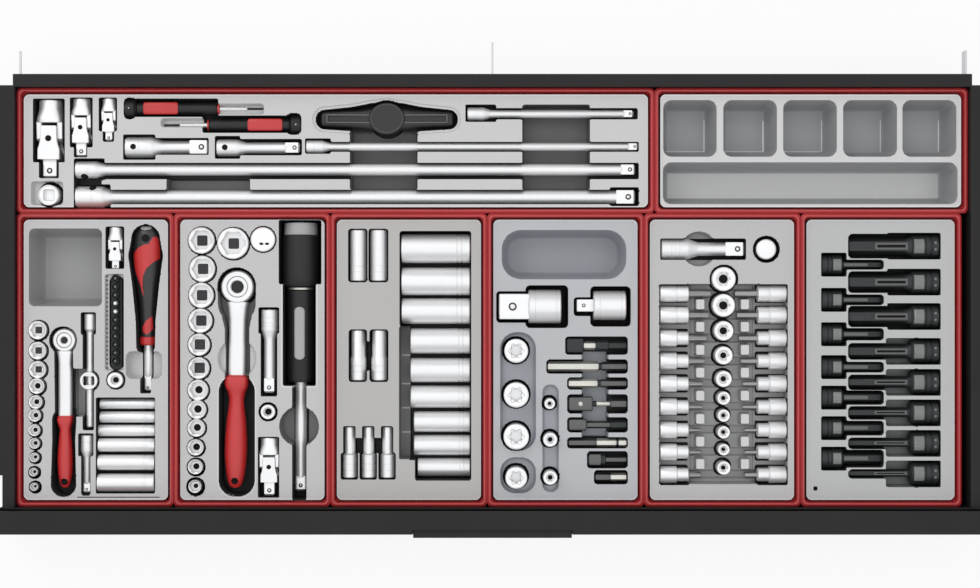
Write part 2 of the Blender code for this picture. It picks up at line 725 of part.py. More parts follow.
def make_runners():
    """Three-part runner on each side: cabinet, middle and drawer members, one in the other."""
    drawer_height = RUNNER_HEIGHT - 4 * (RUNNER_RACE + CLEARANCE)
    middle_height = RUNNER_HEIGHT - 2 * (RUNNER_RACE + CLEARANCE)
    for side, word, tab_height in ((-1, "left", LEFT_TAB_HEIGHT), (1, "right", RIGHT_TAB_HEIGHT)):
        drawer = member("drawer_member_" + word, CLEARANCE, CLEARANCE + DRAWER_MEMBER_REACH,
                        drawer_height, CLEARANCE, CLEARANCE + RUNNER_SHEET, True,
                        RUNNER_FRONT_Y, side)
        middle_far = RUNNER_THICKNESS - RUNNER_SHEET - RUNNER_SHEET
        member("middle_member_" + word, middle_far - MIDDLE_MEMBER_REACH, middle_far,
               middle_height, middle_far - RUNNER_SHEET, middle_far, False,
               RUNNER_FRONT_Y, side)
        member("cabinet_member_" + word, RUNNER_THICKNESS - CABINET_MEMBER_REACH,
               RUNNER_THICKNESS, RUNNER_HEIGHT, RUNNER_THICKNESS - RUNNER_SHEET,
               RUNNER_THICKNESS, False, RUNNER_FRONT_Y, side)
        tab_x = sorted((side * (WALL_X + CLEARANCE), side * (WALL_X + CLEARANCE + RUNNER_SHEET)))
        tab = box("tab_" + word,
                  (tab_x[0], REAR_Y - OVERRUN, RUNNER_AXIS_HEIGHT - tab_height / 2),
                  (tab_x[1], REAR_Y + TAB_LENGTH, RUNNER_AXIS_HEIGHT + tab_height / 2), ZINC)
        join(drawer, tab)


def make_catch():
    """Lock catch: an upright blade on a foot on the pan's back wall, under the flange."""
    top = PAN_HEIGHT - SHEET - CATCH_TOP_DROP
    back = REAR_Y + CLEARANCE
    foot = box("lock_catch", (-CATCH_FOOT_WIDTH / 2, back, top - CATCH_FOOT_HEIGHT),
               (CATCH_FOOT_WIDTH / 2, back + CATCH_FOOT_THICKNESS, top), ZINC)
    blade = box("catch_blade", (-CATCH_THICKNESS / 2, back + CATCH_FOOT_THICKNESS / 2,
                                top - CATCH_HEIGHT),
                (CATCH_THICKNESS / 2, back + CATCH_REACH, top), ZINC)
    join(foot, blade)


# Single tools

def tool_box(name, near, far, half_side, half_up, look, seat, side_shift=0, up_shift=0):
    """A block along a tool's axis, from near to far behind its head."""
    return box(name, (side_shift - half_side, up_shift - half_up, -far),
               (side_shift + half_side, up_shift + half_up, -near), look, seat)


def turning_bore(radius, sides):
    """Radius of a faceted bore whose flats clear a round piece that turns in it."""
    return (radius + CLEARANCE) / cos(pi / sides)


def tool_rod(name, start, end, radius, look, seat, sides):
    """A round rod in a tool's own frame, for a boss, a pin or a hole."""
    return new_object(name, rod_mesh(name, [(start, end, radius, radius)], sides), look, seat)


def square_hole(name, square, look, seat):
    depth = square * SQUARE_HOLE_SHARE
    half = (square + CLEARANCE) / 2
    return tool_box("hole_" + name, -OVERRUN, depth, half, half, look, seat)


def extension(name, tray, place_px, heading, length, square, socket_radius, socket_length,
              shaft_radius):
    """Extension bar: a round end with a square hole, a shaft and a square end."""
    seat = tray.seat(place_px, heading, socket_radius)
    shaft_end = length - square * SQUARE_LENGTH_SHARE
    profile = (
        (0, 0), (0, socket_radius), (socket_length, socket_radius),
        (socket_length + socket_radius, shaft_radius), (shaft_end, shaft_radius),
        (shaft_end, 0),
    )
    bar = turned(name, profile, CHROME, seat, BAR_SIDES)
    tip = tool_box("tip_" + name, shaft_end - OVERRUN, length, square / 2, square / 2,
                   CHROME, seat)
    join(bar, tip)
    cut(bar, square_hole(name, square, CHROME, seat))
    tray.lying_pocket(place_px, heading, length, socket_radius)
    return bar


def joint_sizes(length, radius, square):
    """Distances along a universal joint: pivot, where each yoke's round part ends, and the tip."""
    tip = length - square * SQUARE_LENGTH_SHARE
    pivot = (length - square) * PIVOT_SHARE
    return pivot, pivot - YOKE_ROOT_SHARE * radius, pivot + YOKE_ROOT_SHARE * radius, tip


def joint_yoke_arms(name, near, far, radius, sideways, look, seat):
    """The two arms of a yoke, on either side of the axis."""
    inner = radius * YOKE_INNER_SHARE
    outer = radius * YOKE_OUTER_SHARE
    half = (outer - inner) / 2
    middle = (outer + inner) / 2
    width = radius * YOKE_WIDTH_SHARE
    arms = []
    for sign in (-1, 1):
        if sideways:
            arm = tool_box("arm_" + name, near, far, half, width, look, seat, sign * middle, 0)
        else:
            arm = tool_box("arm_" + name, near, far, width, half, look, seat, 0, sign * middle)
        arms.append(arm)
    return arms


def joint_socket_yoke(name, length, radius, square, seat):
    """The yoke with the square hole; its arms stand at the sides."""
    pivot, root, _, _ = joint_sizes(length, radius, square)
    yoke = turned(name, ((0, 0), (0, radius), (root, radius), (root, 0)), CHROME, seat,
                  BAR_SIDES)
    far = pivot + YOKE_END_SHARE * radius
    join(yoke, *joint_yoke_arms(name, root - OVERRUN, far, radius, True, CHROME, seat))
    cut(yoke, square_hole(name, square, CHROME, seat))
    return yoke


def joint_drive_yoke(name, length, radius, square, seat):
    """The yoke with the square end and the cross; its arms stand above and below."""
    pivot, _, root, tip = joint_sizes(length, radius, square)
    collar = ((root, 0), (root, radius), (tip, radius), (tip, 0))
    yoke = turned(name, collar, CHROME, seat, BAR_SIDES)
    near = pivot - YOKE_END_SHARE * radius
    arms = joint_yoke_arms(name, near, root + OVERRUN / 2, radius, False, CHROME, seat)
    half = radius * YOKE_WIDTH_SHARE
    middle = tool_box("cross_" + name, pivot - half, pivot + half, half, radius * YOKE_OUTER_SHARE
                      - CLEARANCE, CHROME, seat)
    reach = radius * JOINT_PIN_REACH_SHARE
    pin = tool_rod("pin_" + name, (-reach, 0, -pivot), (reach, 0, -pivot),
                   radius * JOINT_PIN_SHARE, CHROME, seat, BIT_SIDES)
    end = tool_box("square_" + name, tip - OVERRUN, length, square / 2, square / 2, CHROME, seat)
    return join(yoke, *arms, middle, pin, end)


def fixed_joint(name, tray, place_px, length, radius, square):
    """A small universal joint as one piece."""
    seat = tray.seat(place_px, FRONTWARD, radius)
    drive = joint_drive_yoke(name, length, radius, square, seat)
    socket = joint_socket_yoke("socket_" + name, length, radius, square, seat)
    join(drive, socket)
    tray.lying_pocket(place_px, FRONTWARD, length, radius)
    return drive


def moving_joint(tray, place_px, length, radius, square):
    """The large universal joint: its drive yoke swings on the pin in the socket yoke's arms."""
    seat = tray.seat(place_px, FRONTWARD, radius)
    pivot = joint_sizes(length, radius, square)[0]
    pin = bpy.data.objects.new("half_joint_pin", None)
    pin.matrix_world = seat @ Matrix.Translation((0, 0, -pivot))
    PARTS.objects.link(pin)
    drive = joint_drive_yoke("half_joint_drive", length, radius, square, seat)
    drive.parent = pin
    drive.matrix_parent_inverse = pin.matrix_world.inverted()
    socket = joint_socket_yoke("half_joint_socket", length, radius, square, seat)
    bore = tool_rod("bore_half_joint", (-radius - OVERRUN, 0, -pivot),
                    (radius + OVERRUN, 0, -pivot), radius * JOINT_PIN_SHARE + CLEARANCE,
                    CHROME, seat, BAR_SIDES)
    cut(socket, bore)
    tray.lying_pocket(place_px, FRONTWARD, length, radius)


def shaped(name, shares, length, radius, look, seat, sides=HANDLE_SIDES):
    """A turned piece from a profile of shares."""
    profile = [(place * length, across * radius) for place, across in shares]
    return turned(name, profile, look, seat, sides)


def driver(name, tray, place_px, heading):
    """Slim screwdriver with a round cap."""
    seat = tray.seat(place_px, heading, DRIVER_RADIUS)
    shaped(name, DRIVER_PROFILE_SHARES, DRIVER_LENGTH, DRIVER_RADIUS, BLACK_GRIP, seat, BAR_SIDES)
    cap = DRIVER_LENGTH * DRIVER_CAP_SHARE
    blade = DRIVER_LENGTH * DRIVER_BODY_SHARE
    steps = ((0, cap, DRIVER_RADIUS), (cap, blade, DRIVER_RADIUS * DRIVER_WAIST_SHARE),
             (blade, DRIVER_LENGTH, DRIVER_RADIUS * DRIVER_SHAFT_SHARE))
    tray.stepped_pocket(place_px, heading, steps, DRIVER_RADIUS)


def ratchet(name, tray, place_px, length, head, grip, square):
    """Ratchet: flat round head on a shank with a grip, and the drive that turns in the head."""
    seat = tray.seat(place_px, FRONTWARD, grip)
    half = head * RATCHET_HEAD_HEIGHT_SHARE / 2
    run = length - head
    body = shaped(name, RATCHET_GRIP_SHARES, run, grip, RED_GRIP, seat, BAR_SIDES)
    disc = tool_rod("head_" + name, (0, -half, 0), (0, half, 0), head, CHROME, seat, HANDLE_SIDES)
    join(body, disc)
    hub = head * RATCHET_DRIVE_SHARE
    bore = tool_rod("bore_" + name, (0, -half - OVERRUN, 0), (0, half + OVERRUN, 0),
                    turning_bore(hub, HANDLE_SIDES), CHROME, seat, HANDLE_SIDES)
    hole_place = -run + 2 * HANG_HOLE_SHARE * grip
    hole = tool_rod("hang_" + name, (0, -grip - OVERRUN, hole_place),
                    (0, grip + OVERRUN, hole_place), HANG_HOLE_SHARE * grip / 2, RED_GRIP,
                    seat, LYING_SIDES)
    cut(body, bore, hole)
    drop = square * SQUARE_LENGTH_SHARE
    drive = tool_rod(name + "_drive", (0, -half, 0), (0, half, 0), hub, CHROME, seat,
                     HANDLE_SIDES)
    side = square / 2
    post = box("post_" + name, (-side, -half - drop, -side), (side, -half + OVERRUN, side),
               CHROME, seat)
    join(drive, post)
    tray.lying_pocket(place_px, FRONTWARD, run, grip)
    x, y = tray.spot(place_px)
    grow = head + POCKET_GAP
    floor = INSERT_TOP + TOOL_PROUD - grip - half - CLEARANCE
    tray.pocket(x - grow, y - grow, x + grow, y + grow, floor)
    well = square / sqrt(2) + POCKET_GAP
    tray.pocket(x - well, y - well, x + well, y + well, floor - drop)


def tee_bar(tray):
    """Sliding T-bar: a bar with a knob at its end, and the slider with the square on it."""
    seat = tray.seat(TEE_BAR_PX, FRONTWARD, SLIDER_RADIUS)
    knob = TEE_BAR_KNOB_LENGTH
    profile = (
        (0, 0), (0, TEE_BAR_KNOB), (knob, TEE_BAR_KNOB), (knob, TEE_BAR_RADIUS),
        (TEE_BAR_LENGTH, TEE_BAR_RADIUS), (TEE_BAR_LENGTH, 0),
    )
    turned("tee_bar", profile, CHROME, seat, BAR_SIDES)
    spot = tray.spot(TEE_BAR_PX)[1] - tray.spot(SLIDER_PX)[1]
    half = SLIDER_HEIGHT / 2
    slider = tool_rod("tee_bar_slider", (0, -half, -spot), (0, half, -spot), SLIDER_RADIUS,
                      CHROME, seat, HANDLE_SIDES)
    side = QUARTER_SQUARE / 2
    drop = QUARTER_SQUARE * SQUARE_LENGTH_SHARE
    post = box("post_slider", (-side, -half - drop, -spot - side),
               (side, -half + OVERRUN, -spot + side), CHROME, seat)
    bore = tool_rod("bore_slider", (0, 0, -spot - SLIDER_RADIUS - OVERRUN),
                    (0, 0, -spot + SLIDER_RADIUS + OVERRUN), TEE_BAR_RADIUS + CLEARANCE,
                    CHROME, seat, BAR_SIDES)
    cut(join(slider, post), bore)
    x, y = tray.spot(TEE_BAR_PX)
    grow = SLIDER_RADIUS + POCKET_GAP
    floor = INSERT_TOP + TOOL_PROUD - SLIDER_RADIUS - half - drop - CLEARANCE
    tray.pocket(x - grow, y - TEE_BAR_LENGTH - POCKET_GAP, x + grow, y + POCKET_GAP, floor)


def torque_handle(tray):
    """Torque handle: grip and shaft, and the setting knob that turns on the grip's spigot."""
    knob_seat = tray.seat(TORQUE_PX, FRONTWARD, TORQUE_KNOB_RADIUS)
    seat = knob_seat @ Matrix.Translation((0, 0, -TORQUE_KNOB_LENGTH - CLEARANCE))
    grip = shaped("torque_handle", TORQUE_PROFILE_SHARES, TORQUE_LENGTH, TORQUE_GRIP_RADIUS,
                  BLACK_GRIP, seat)
    spigot = tool_rod("spigot", (0, 0, -OVERRUN), (0, 0, TORQUE_SPIGOT_LENGTH),
                      TORQUE_SPIGOT_RADIUS, BLACK_GRIP, seat, BAR_SIDES)
    square = THREE_EIGHTHS_SQUARE / 2
    length = TORQUE_LENGTH
    tip = tool_box("tip_torque", length - 2 * THREE_EIGHTHS_SQUARE, length, square, square,
                   CHROME, seat)
    join(grip, spigot, tip)
    knob = shaped("torque_knob", TORQUE_KNOB_SHARES, TORQUE_KNOB_LENGTH, TORQUE_KNOB_RADIUS,
                  BLACK_GRIP, knob_seat)
    bore_depth = TORQUE_SPIGOT_LENGTH + 2 * CLEARANCE
    bore = tool_rod("bore_knob", (0, 0, -TORQUE_KNOB_LENGTH - OVERRUN),
                    (0, 0, -TORQUE_KNOB_LENGTH + bore_depth),
                    turning_bore(TORQUE_SPIGOT_RADIUS, BAR_SIDES), BLACK_GRIP, knob_seat,
                    BAR_SIDES)
    cut(knob, bore)
    grip_near = TORQUE_KNOB_LENGTH + CLEARANCE
    grip_far = grip_near + TORQUE_LENGTH * TORQUE_GRIP_END_SHARE
    shaft = TORQUE_GRIP_RADIUS * TORQUE_SHAFT_SHARE
    steps = ((0, grip_near, TORQUE_KNOB_RADIUS), (grip_near, grip_far, TORQUE_GRIP_RADIUS),
             (grip_far, grip_near + TORQUE_LENGTH, shaft))
    tray.stepped_pocket(TORQUE_PX, FRONTWARD, steps, TORQUE_KNOB_RADIUS)


def spinner_handle(tray):
    seat = tray.seat(SPINNER_PX, FRONTWARD, SPINNER_RADIUS)
    handle = shaped("spinner_handle", SPINNER_PROFILE_SHARES, SPINNER_LENGTH, SPINNER_RADIUS,
                    RED_GRIP, seat)
    half = QUARTER_SQUARE / 2
    tip = tool_box("tip_spinner", SPINNER_LENGTH - 2 * QUARTER_SQUARE, SPINNER_LENGTH, half,
                   half, CHROME, seat)
    join(handle, tip)
    neck = SPINNER_LENGTH * SPINNER_GRIP_END_SHARE
    steps = ((0, neck, SPINNER_RADIUS),
             (neck, SPINNER_LENGTH, SPINNER_RADIUS * SPINNER_SHAFT_SHARE))
    tray.stepped_pocket(SPINNER_PX, FRONTWARD, steps, SPINNER_RADIUS)


def tee_handle(tray):
    """Black T-handle: a cross bar and a round boss that holds the tap."""
    x, y = tray.spot(TEE_HANDLE_PX)
    level = INSERT_TOP + TOOL_PROUD - TEE_HANDLE_BOSS_HEIGHT / 2
    half = TEE_HANDLE_LENGTH / 2
    turn = Matrix((RIGHT.cross(UP), UP, -RIGHT)).transposed().to_4x4()
    seat = Matrix.Translation((x - half, y, level)) @ turn
    bar = shaped("tee_handle", TEE_ARM_SHARES, TEE_HANDLE_LENGTH, TEE_HANDLE_ARM, BLACK_STEEL,
                 seat, BAR_SIDES)
    rise = TEE_HANDLE_BOSS_HEIGHT / 2
    boss = tool_rod("boss_tee", (0, -rise, -half), (0, rise, -half), TEE_HANDLE_BOSS,
                    BLACK_STEEL, seat, HANDLE_SIDES)
    join(bar, boss)
    grow = TEE_HANDLE_ARM + POCKET_GAP
    tray.pocket(x - half - POCKET_GAP, y - grow, x + half + POCKET_GAP, y + grow,
                level - TEE_HANDLE_ARM - CLEARANCE)
    grow = TEE_HANDLE_BOSS + POCKET_GAP
    tray.pocket(x - grow, y - grow, x + grow, y + grow, level - rise - CLEARANCE)


# Rows of tools

def column(tray, column_px, places_px):
    """World x, y and radius of each socket in a column that may lean."""
    top_x, foot_x = column_px
    first = places_px[0][0]
    last = places_px[-1][0]
    found = []
    for y_px, radius_px in places_px:
        along = (y_px - first) / (last - first)
        x, y = tray.spot((top_x + along * (foot_x - top_x), y_px))
        found.append((x, y, tray.reach(radius_px)))
    return found


def standing_floor(height):
    return INSERT_TOP + STAND_PROUD - height


def standing(name, places, height, look):
    """Sockets that stand up, open at the top: their bodies and their bores."""
    foot = standing_floor(height)
    top = foot + height
    bodies = []
    bores = []
    for x, y, radius in places:
        bore = radius * SOCKET_BORE_SHARE
        bodies.append(((x, y, foot), (x, y, top), radius, radius))
        bores.append(((x, y, top - SOCKET_BORE_DEPTH), (x, y, top + OVERRUN), bore, bore))
    return (new_object("bodies_" + name, rod_mesh(name, bodies, ROW_SIDES), look),
            new_object("bores_" + name, rod_mesh(name, bores, BIT_SIDES), look))


def standing_pocket(tray, places, height):
    """One channel along a column of standing sockets."""
    tray.pocket(
        min(x - radius for x, _, radius in places) - POCKET_GAP,
        min(y - radius for _, y, radius in places) - POCKET_GAP,
        max(x + radius for x, _, radius in places) + POCKET_GAP,
        max(y + radius for _, y, radius in places) + POCKET_GAP,
        standing_floor(height) - CLEARANCE)


def rail(tray, name, boxes_px, foot, look):
    """A flat strip under a row of tools that ties them together, and the groove for it."""
    low_z = foot + RAIL_RAISE
    strips = []
    for number, box_px in enumerate(boxes_px):
        low_x, low_y, high_x, high_y = tray.corners(box_px)
        strip_name = name if number == 0 else "strip_" + name
        strips.append(box(strip_name, (low_x, low_y, low_z),
                          (high_x, high_y, low_z + RAIL_HEIGHT), look))
        tray.pocket(low_x - POCKET_GAP, low_y - POCKET_GAP, high_x + POCKET_GAP,
                    high_y + POCKET_GAP, low_z - CLEARANCE)
    return join(strips[0], *strips[1:])


def column_rail_px(column_px, places_px, half_px):
    """Pixel box of a straight strip along a column."""
    middle = (column_px[0] + column_px[1]) / 2
    return middle - half_px, places_px[0][0], middle + half_px, places_px[-1][0]


def lying_rods(tray, boxes_px, along_x, axis_z):
    """Rods for lying sockets, one for each pixel box."""
    rods = []
    for box_px in boxes_px:
        low_x, low_y, high_x, high_y = tray.corners(box_px)
        if along_x:
            radius = (high_y - low_y) / 2
            middle = (low_y + high_y) / 2
            rods.append(((low_x, middle, axis_z(radius)), (high_x, middle, axis_z(radius)),
                         radius, radius))
        else:
            radius = (high_x - low_x) / 2
            middle = (low_x + high_x) / 2
            rods.append(((middle, low_y, axis_z(radius)), (middle, high_y, axis_z(radius)),
                         radius, radius))
    return rods


def lying_pockets(tray, boxes_px, foot):
    """A pocket round each lying tool, all with the same floor."""
    for box_px in boxes_px:
        low_x, low_y, high_x, high_y = tray.corners(box_px)
        tray.pocket(low_x - POCKET_GAP, low_y - POCKET_GAP, high_x + POCKET_GAP,
                    high_y + POCKET_GAP, foot - CLEARANCE)


def tie(base, tray, box_px, low_z, high_z, look):
    """A strip that joins a neighbour to a piece, and the groove for it."""
    low_x, low_y, high_x, high_y = tray.corners(box_px)
    strip = box("tie_" + base.name, (low_x, low_y, low_z), (high_x, high_y, high_z), look)
    tray.pocket(low_x - POCKET_GAP, low_y - POCKET_GAP, high_x + POCKET_GAP,
                high_y + POCKET_GAP, low_z - CLEARANCE)
    return join(base, strip)


def stand_beside(base, tray, place_px, radius_px, foot, look):
    """A short round adaptor that stands beside a piece and shares its node."""
    place = (*tray.spot(place_px), tray.reach(radius_px))
    height = INSERT_TOP + STAND_PROUD - foot
    bodies, bores = standing("beside_" + base.name, [place], height, look)
    cut(join(base, bodies), bores)
    standing_pocket(tray, [place], height)


def widest_radius(tray, boxes_px, along_x):
    spans = [tray.corners(box_px) for box_px in boxes_px]
    if along_x:
        return max(high_y - low_y for _, low_y, _, high_y in spans) / 2
    return max(high_x - low_x for low_x, _, high_x, _ in spans) / 2


def lying_row(tray, name, boxes_px, along_x, rails_px, look):
    """Lying deep sockets tied by rails: all stand on one floor."""
    radius = widest_radius(tray, boxes_px, along_x)
    foot = INSERT_TOP + TOOL_PROUD - 2 * radius

    def axis_z(own_radius):
        return foot + own_radius

    base = rail(tray, name, rails_px, foot, look)
    rods = lying_rods(tray, boxes_px, along_x, axis_z)
    bodies = new_object("bodies_" + name, rod_mesh(name, rods, LYING_SIDES), look)
    join(base, bodies)
    holes = []
    for start, end, own_radius, _ in rods:
        start = Vector(start)
        run = (Vector(end) - start).normalized()
        hole = own_radius * SOCKET_BORE_SHARE
        holes.append((start - run * OVERRUN, start + run * SOCKET_BORE_DEPTH, hole, hole))
    cut(base, new_object("bores_" + name, rod_mesh(name, holes, BIT_SIDES), look))
    lying_pockets(tray, boxes_px, foot)
    return base


# Fill the trays

def fill_a(tray):
    moving_joint(tray, HALF_JOINT_PX, HALF_JOINT_LENGTH, HALF_JOINT_RADIUS, HALF_SQUARE)
    fixed_joint("three_eighths_joint", tray, THREE_EIGHTHS_JOINT_PX, THREE_EIGHTHS_JOINT_LENGTH,
                THREE_EIGHTHS_JOINT_RADIUS, THREE_EIGHTHS_SQUARE)
    fixed_joint("quarter_joint", tray, QUARTER_JOINT_PX, QUARTER_JOINT_LENGTH,
                QUARTER_JOINT_RADIUS, QUARTER_SQUARE)
    driver("screwdriver_left", tray, DRIVER_LEFT_PX, RIGHT)
    driver("screwdriver_right", tray, DRIVER_RIGHT_PX, LEFT)
    half = (HALF_SQUARE, HALF_SOCKET_RADIUS, HALF_SOCKET_LENGTH, HALF_SHAFT_RADIUS)
    three_eighths = (THREE_EIGHTHS_SQUARE, THREE_EIGHTHS_SOCKET_RADIUS,
                     THREE_EIGHTHS_SOCKET_LENGTH, THREE_EIGHTHS_SHAFT_RADIUS)
    quarter = (QUARTER_SQUARE, QUARTER_SOCKET_RADIUS, QUARTER_SOCKET_LENGTH,
               QUARTER_SHAFT_RADIUS)
    extension("short_bar_half", tray, SHORT_HALF_BAR_PX, RIGHT, SHORT_BAR, *half)
    extension("short_bar_three_eighths", tray, SHORT_THREE_EIGHTHS_BAR_PX, RIGHT, SHORT_BAR,
              *three_eighths)
    tee_handle(tray)
    extension("middle_bar", tray, MIDDLE_BAR_PX, RIGHT, MIDDLE_BAR, *quarter)
    extension("long_bar", tray, LONG_BAR_PX, RIGHT, LONG_BAR, *quarter)
    extension("longest_bar_upper", tray, UPPER_LONGEST_BAR_PX, RIGHT, LONGEST_BAR,
              *three_eighths)
    lower = extension("longest_bar_lower", tray, LOWER_LONGEST_BAR_PX, RIGHT, LONGEST_BAR, *half)
    underside = INSERT_TOP + TOOL_PROUD - 2 * HALF_SOCKET_RADIUS
    tie(lower, tray, TIE_ADAPTOR_A_PX, underside + RAIL_RAISE,
        underside + RAIL_RAISE + RAIL_HEIGHT, CHROME)
    stand_beside(lower, tray, ADAPTOR_A_PX, ADAPTOR_A_RADIUS_PX, underside, CHROME)


def fill_c(tray):
    ratchet("quarter_ratchet", tray, QUARTER_RATCHET_PX, QUARTER_RATCHET_LENGTH,
            QUARTER_RATCHET_HEAD, QUARTER_RATCHET_GRIP, QUARTER_SQUARE)
    tee_bar(tray)
    spinner_handle(tray)
    places = column(tray, QUARTER_STAND_PX, QUARTER_STAND_PLACES_PX)
    foot = standing_floor(STAND_HEIGHT)
    strip_px = column_rail_px(QUARTER_STAND_PX, QUARTER_STAND_PLACES_PX,
                              NARROW_RAIL_HALF_PX)
    base = rail(tray, "quarter_sockets", (strip_px,), foot, CHROME)
    bodies, bores = standing("quarter_sockets", places, STAND_HEIGHT, CHROME)
    cut(join(base, bodies), bores)
    standing_pocket(tray, places, STAND_HEIGHT)
    boxes_px = QUARTER_DEEP_PX
    lying_row(tray, "quarter_deep_sockets", boxes_px, True, RAILS_C_PX, CHROME)
    make_small_extension(tray)
    make_accessories_c(tray)


def make_small_extension(tray):
    """The 50 mm bar beside the deep sockets, on the same rail."""
    low_x, low_y, high_x, high_y = tray.corners(QUARTER_EXTENSION_PX)
    radius = widest_radius(tray, QUARTER_DEEP_PX, True)
    foot = INSERT_TOP + TOOL_PROUD - 2 * radius
    middle = (low_x + high_x) / 2
    shaft = QUARTER_SHAFT_RADIUS
    head = high_y - QUARTER_SOCKET_LENGTH
    rods = [((middle, high_y, foot + QUARTER_SOCKET_RADIUS), (middle, head, foot
             + QUARTER_SOCKET_RADIUS), QUARTER_SOCKET_RADIUS, QUARTER_SOCKET_RADIUS)]
    thin = [((middle, head + OVERRUN, foot + QUARTER_SOCKET_RADIUS), (middle, low_y, foot
             + QUARTER_SOCKET_RADIUS), shaft, shaft)]
    base = bpy.data.objects["quarter_deep_sockets"]
    join(base, new_object("bar_head", rod_mesh("bar_head", rods, LYING_SIDES), CHROME),
         new_object("bar_shaft", rod_mesh("bar_shaft", thin, LYING_SIDES), CHROME))
    lying_pockets(tray, (QUARTER_EXTENSION_PX,), foot)


def make_accessories_c(tray):
    """Bit rack, with the small universal joint and the adaptor on one rail with it."""
    x, y = tray.spot(BIT_RACK_PX)
    top = INSERT_TOP - BIT_PROUD
    foot = top - BIT_RACK_HEIGHT
    half_x = BIT_RACK_WIDTH / 2
    half_y = BIT_RACK_LENGTH / 2
    rack = box("bit_rack", (x - half_x, y - half_y, foot), (x + half_x, y + half_y, top),
               BLACK_GRIP)
    pitch = BIT_RACK_LENGTH / BIT_COUNT
    bits = []
    for index in range(BIT_COUNT):
        bit_y = y + half_y - (index + 1 / 2) * pitch
        bits.append(((x, bit_y, top - BIT_PROUD), (x, bit_y, top + BIT_PROUD), BIT_RADIUS,
                     BIT_RADIUS))
    join(rack, new_object("bits_rack", rod_mesh("bits_rack", bits, BIT_SIDES), CHROME))
    tray.pocket(x - half_x - POCKET_GAP, y - half_y - POCKET_GAP, x + half_x + POCKET_GAP,
                y + half_y + POCKET_GAP, foot - CLEARANCE)
    small = fixed_joint("small_joint", tray, SMALL_JOINT_PX, QUARTER_JOINT_LENGTH,
                        QUARTER_JOINT_RADIUS, QUARTER_SQUARE)
    join(rack, small)
    square_foot = INSERT_TOP + TOOL_PROUD - QUARTER_JOINT_RADIUS - QUARTER_SQUARE / 2
    for tie_px in (TIE_JOINT_C_PX, TIE_ADAPTOR_C_PX):
        tie(rack, tray, tie_px, square_foot - RAIL_RAISE, square_foot + RAIL_HEIGHT, CHROME)
    stand_beside(rack, tray, SMALL_ADAPTOR_PX, SMALL_ADAPTOR_RADIUS_PX, foot, CHROME)


def fill_d(tray):
    ratchet("three_eighths_ratchet", tray, THREE_EIGHTHS_RATCHET_PX,
            THREE_EIGHTHS_RATCHET_LENGTH, THREE_EIGHTHS_RATCHET_HEAD,
            THREE_EIGHTHS_RATCHET_GRIP, THREE_EIGHTHS_SQUARE)
    torque_handle(tray)
    places = column(tray, THREE_EIGHTHS_STAND_PX, THREE_EIGHTHS_STAND_PLACES_PX)
    extra = [(*tray.spot(BIG_STAND_PX), tray.reach(BIG_STAND_RADIUS_PX)),
             (*tray.spot(DISC_PX), tray.reach(DISC_RADIUS_PX))]
    foot = standing_floor(STAND_HEIGHT)
    strip_px = column_rail_px(THREE_EIGHTHS_STAND_PX, THREE_EIGHTHS_STAND_PLACES_PX,
                              WIDE_RAIL_HALF_PX)
    base = rail(tray, "three_eighths_sockets", (strip_px, *RAILS_D_PX), foot, CHROME)
    bodies, bores = standing("three_eighths_sockets", places + extra, STAND_HEIGHT, CHROME)
    cut(join(base, bodies), bores)
    standing_pocket(tray, places, STAND_HEIGHT)
    for place in extra:
        standing_pocket(tray, [place], STAND_HEIGHT)
    bar = extension("short_bar_d", tray, SHORT_BAR_D_PX, FRONTWARD, SHORT_BAR,
                    THREE_EIGHTHS_SQUARE, THREE_EIGHTHS_SOCKET_RADIUS,
                    THREE_EIGHTHS_SOCKET_LENGTH, THREE_EIGHTHS_SHAFT_RADIUS)
    joint = fixed_joint("joint_d", tray, JOINT_D_PX, THREE_EIGHTHS_JOINT_LENGTH,
                        THREE_EIGHTHS_JOINT_RADIUS, THREE_EIGHTHS_SQUARE)
    square_foot = (INSERT_TOP + TOOL_PROUD - THREE_EIGHTHS_SOCKET_RADIUS
                   - THREE_EIGHTHS_SQUARE / 2)
    joint_foot = INSERT_TOP + TOOL_PROUD - 2 * THREE_EIGHTHS_JOINT_RADIUS
    tie(join(bar, joint), tray, TIE_D_PX, joint_foot + RAIL_HEIGHT, square_foot + RAIL_HEIGHT / 2,
        CHROME)
    stand_beside(bar, tray, ADAPTOR_D_PX, ADAPTOR_D_RADIUS_PX, square_foot - RAIL_RAISE, CHROME)


def fill_e(tray):
    lying_row(tray, "deep_sockets_left", DEEP_LEFT_PX, False, RAILS_E_LEFT_PX, CHROME)
    lying_row(tray, "deep_sockets_right", DEEP_RIGHT_PX, True, RAILS_E_RIGHT_PX, CHROME)


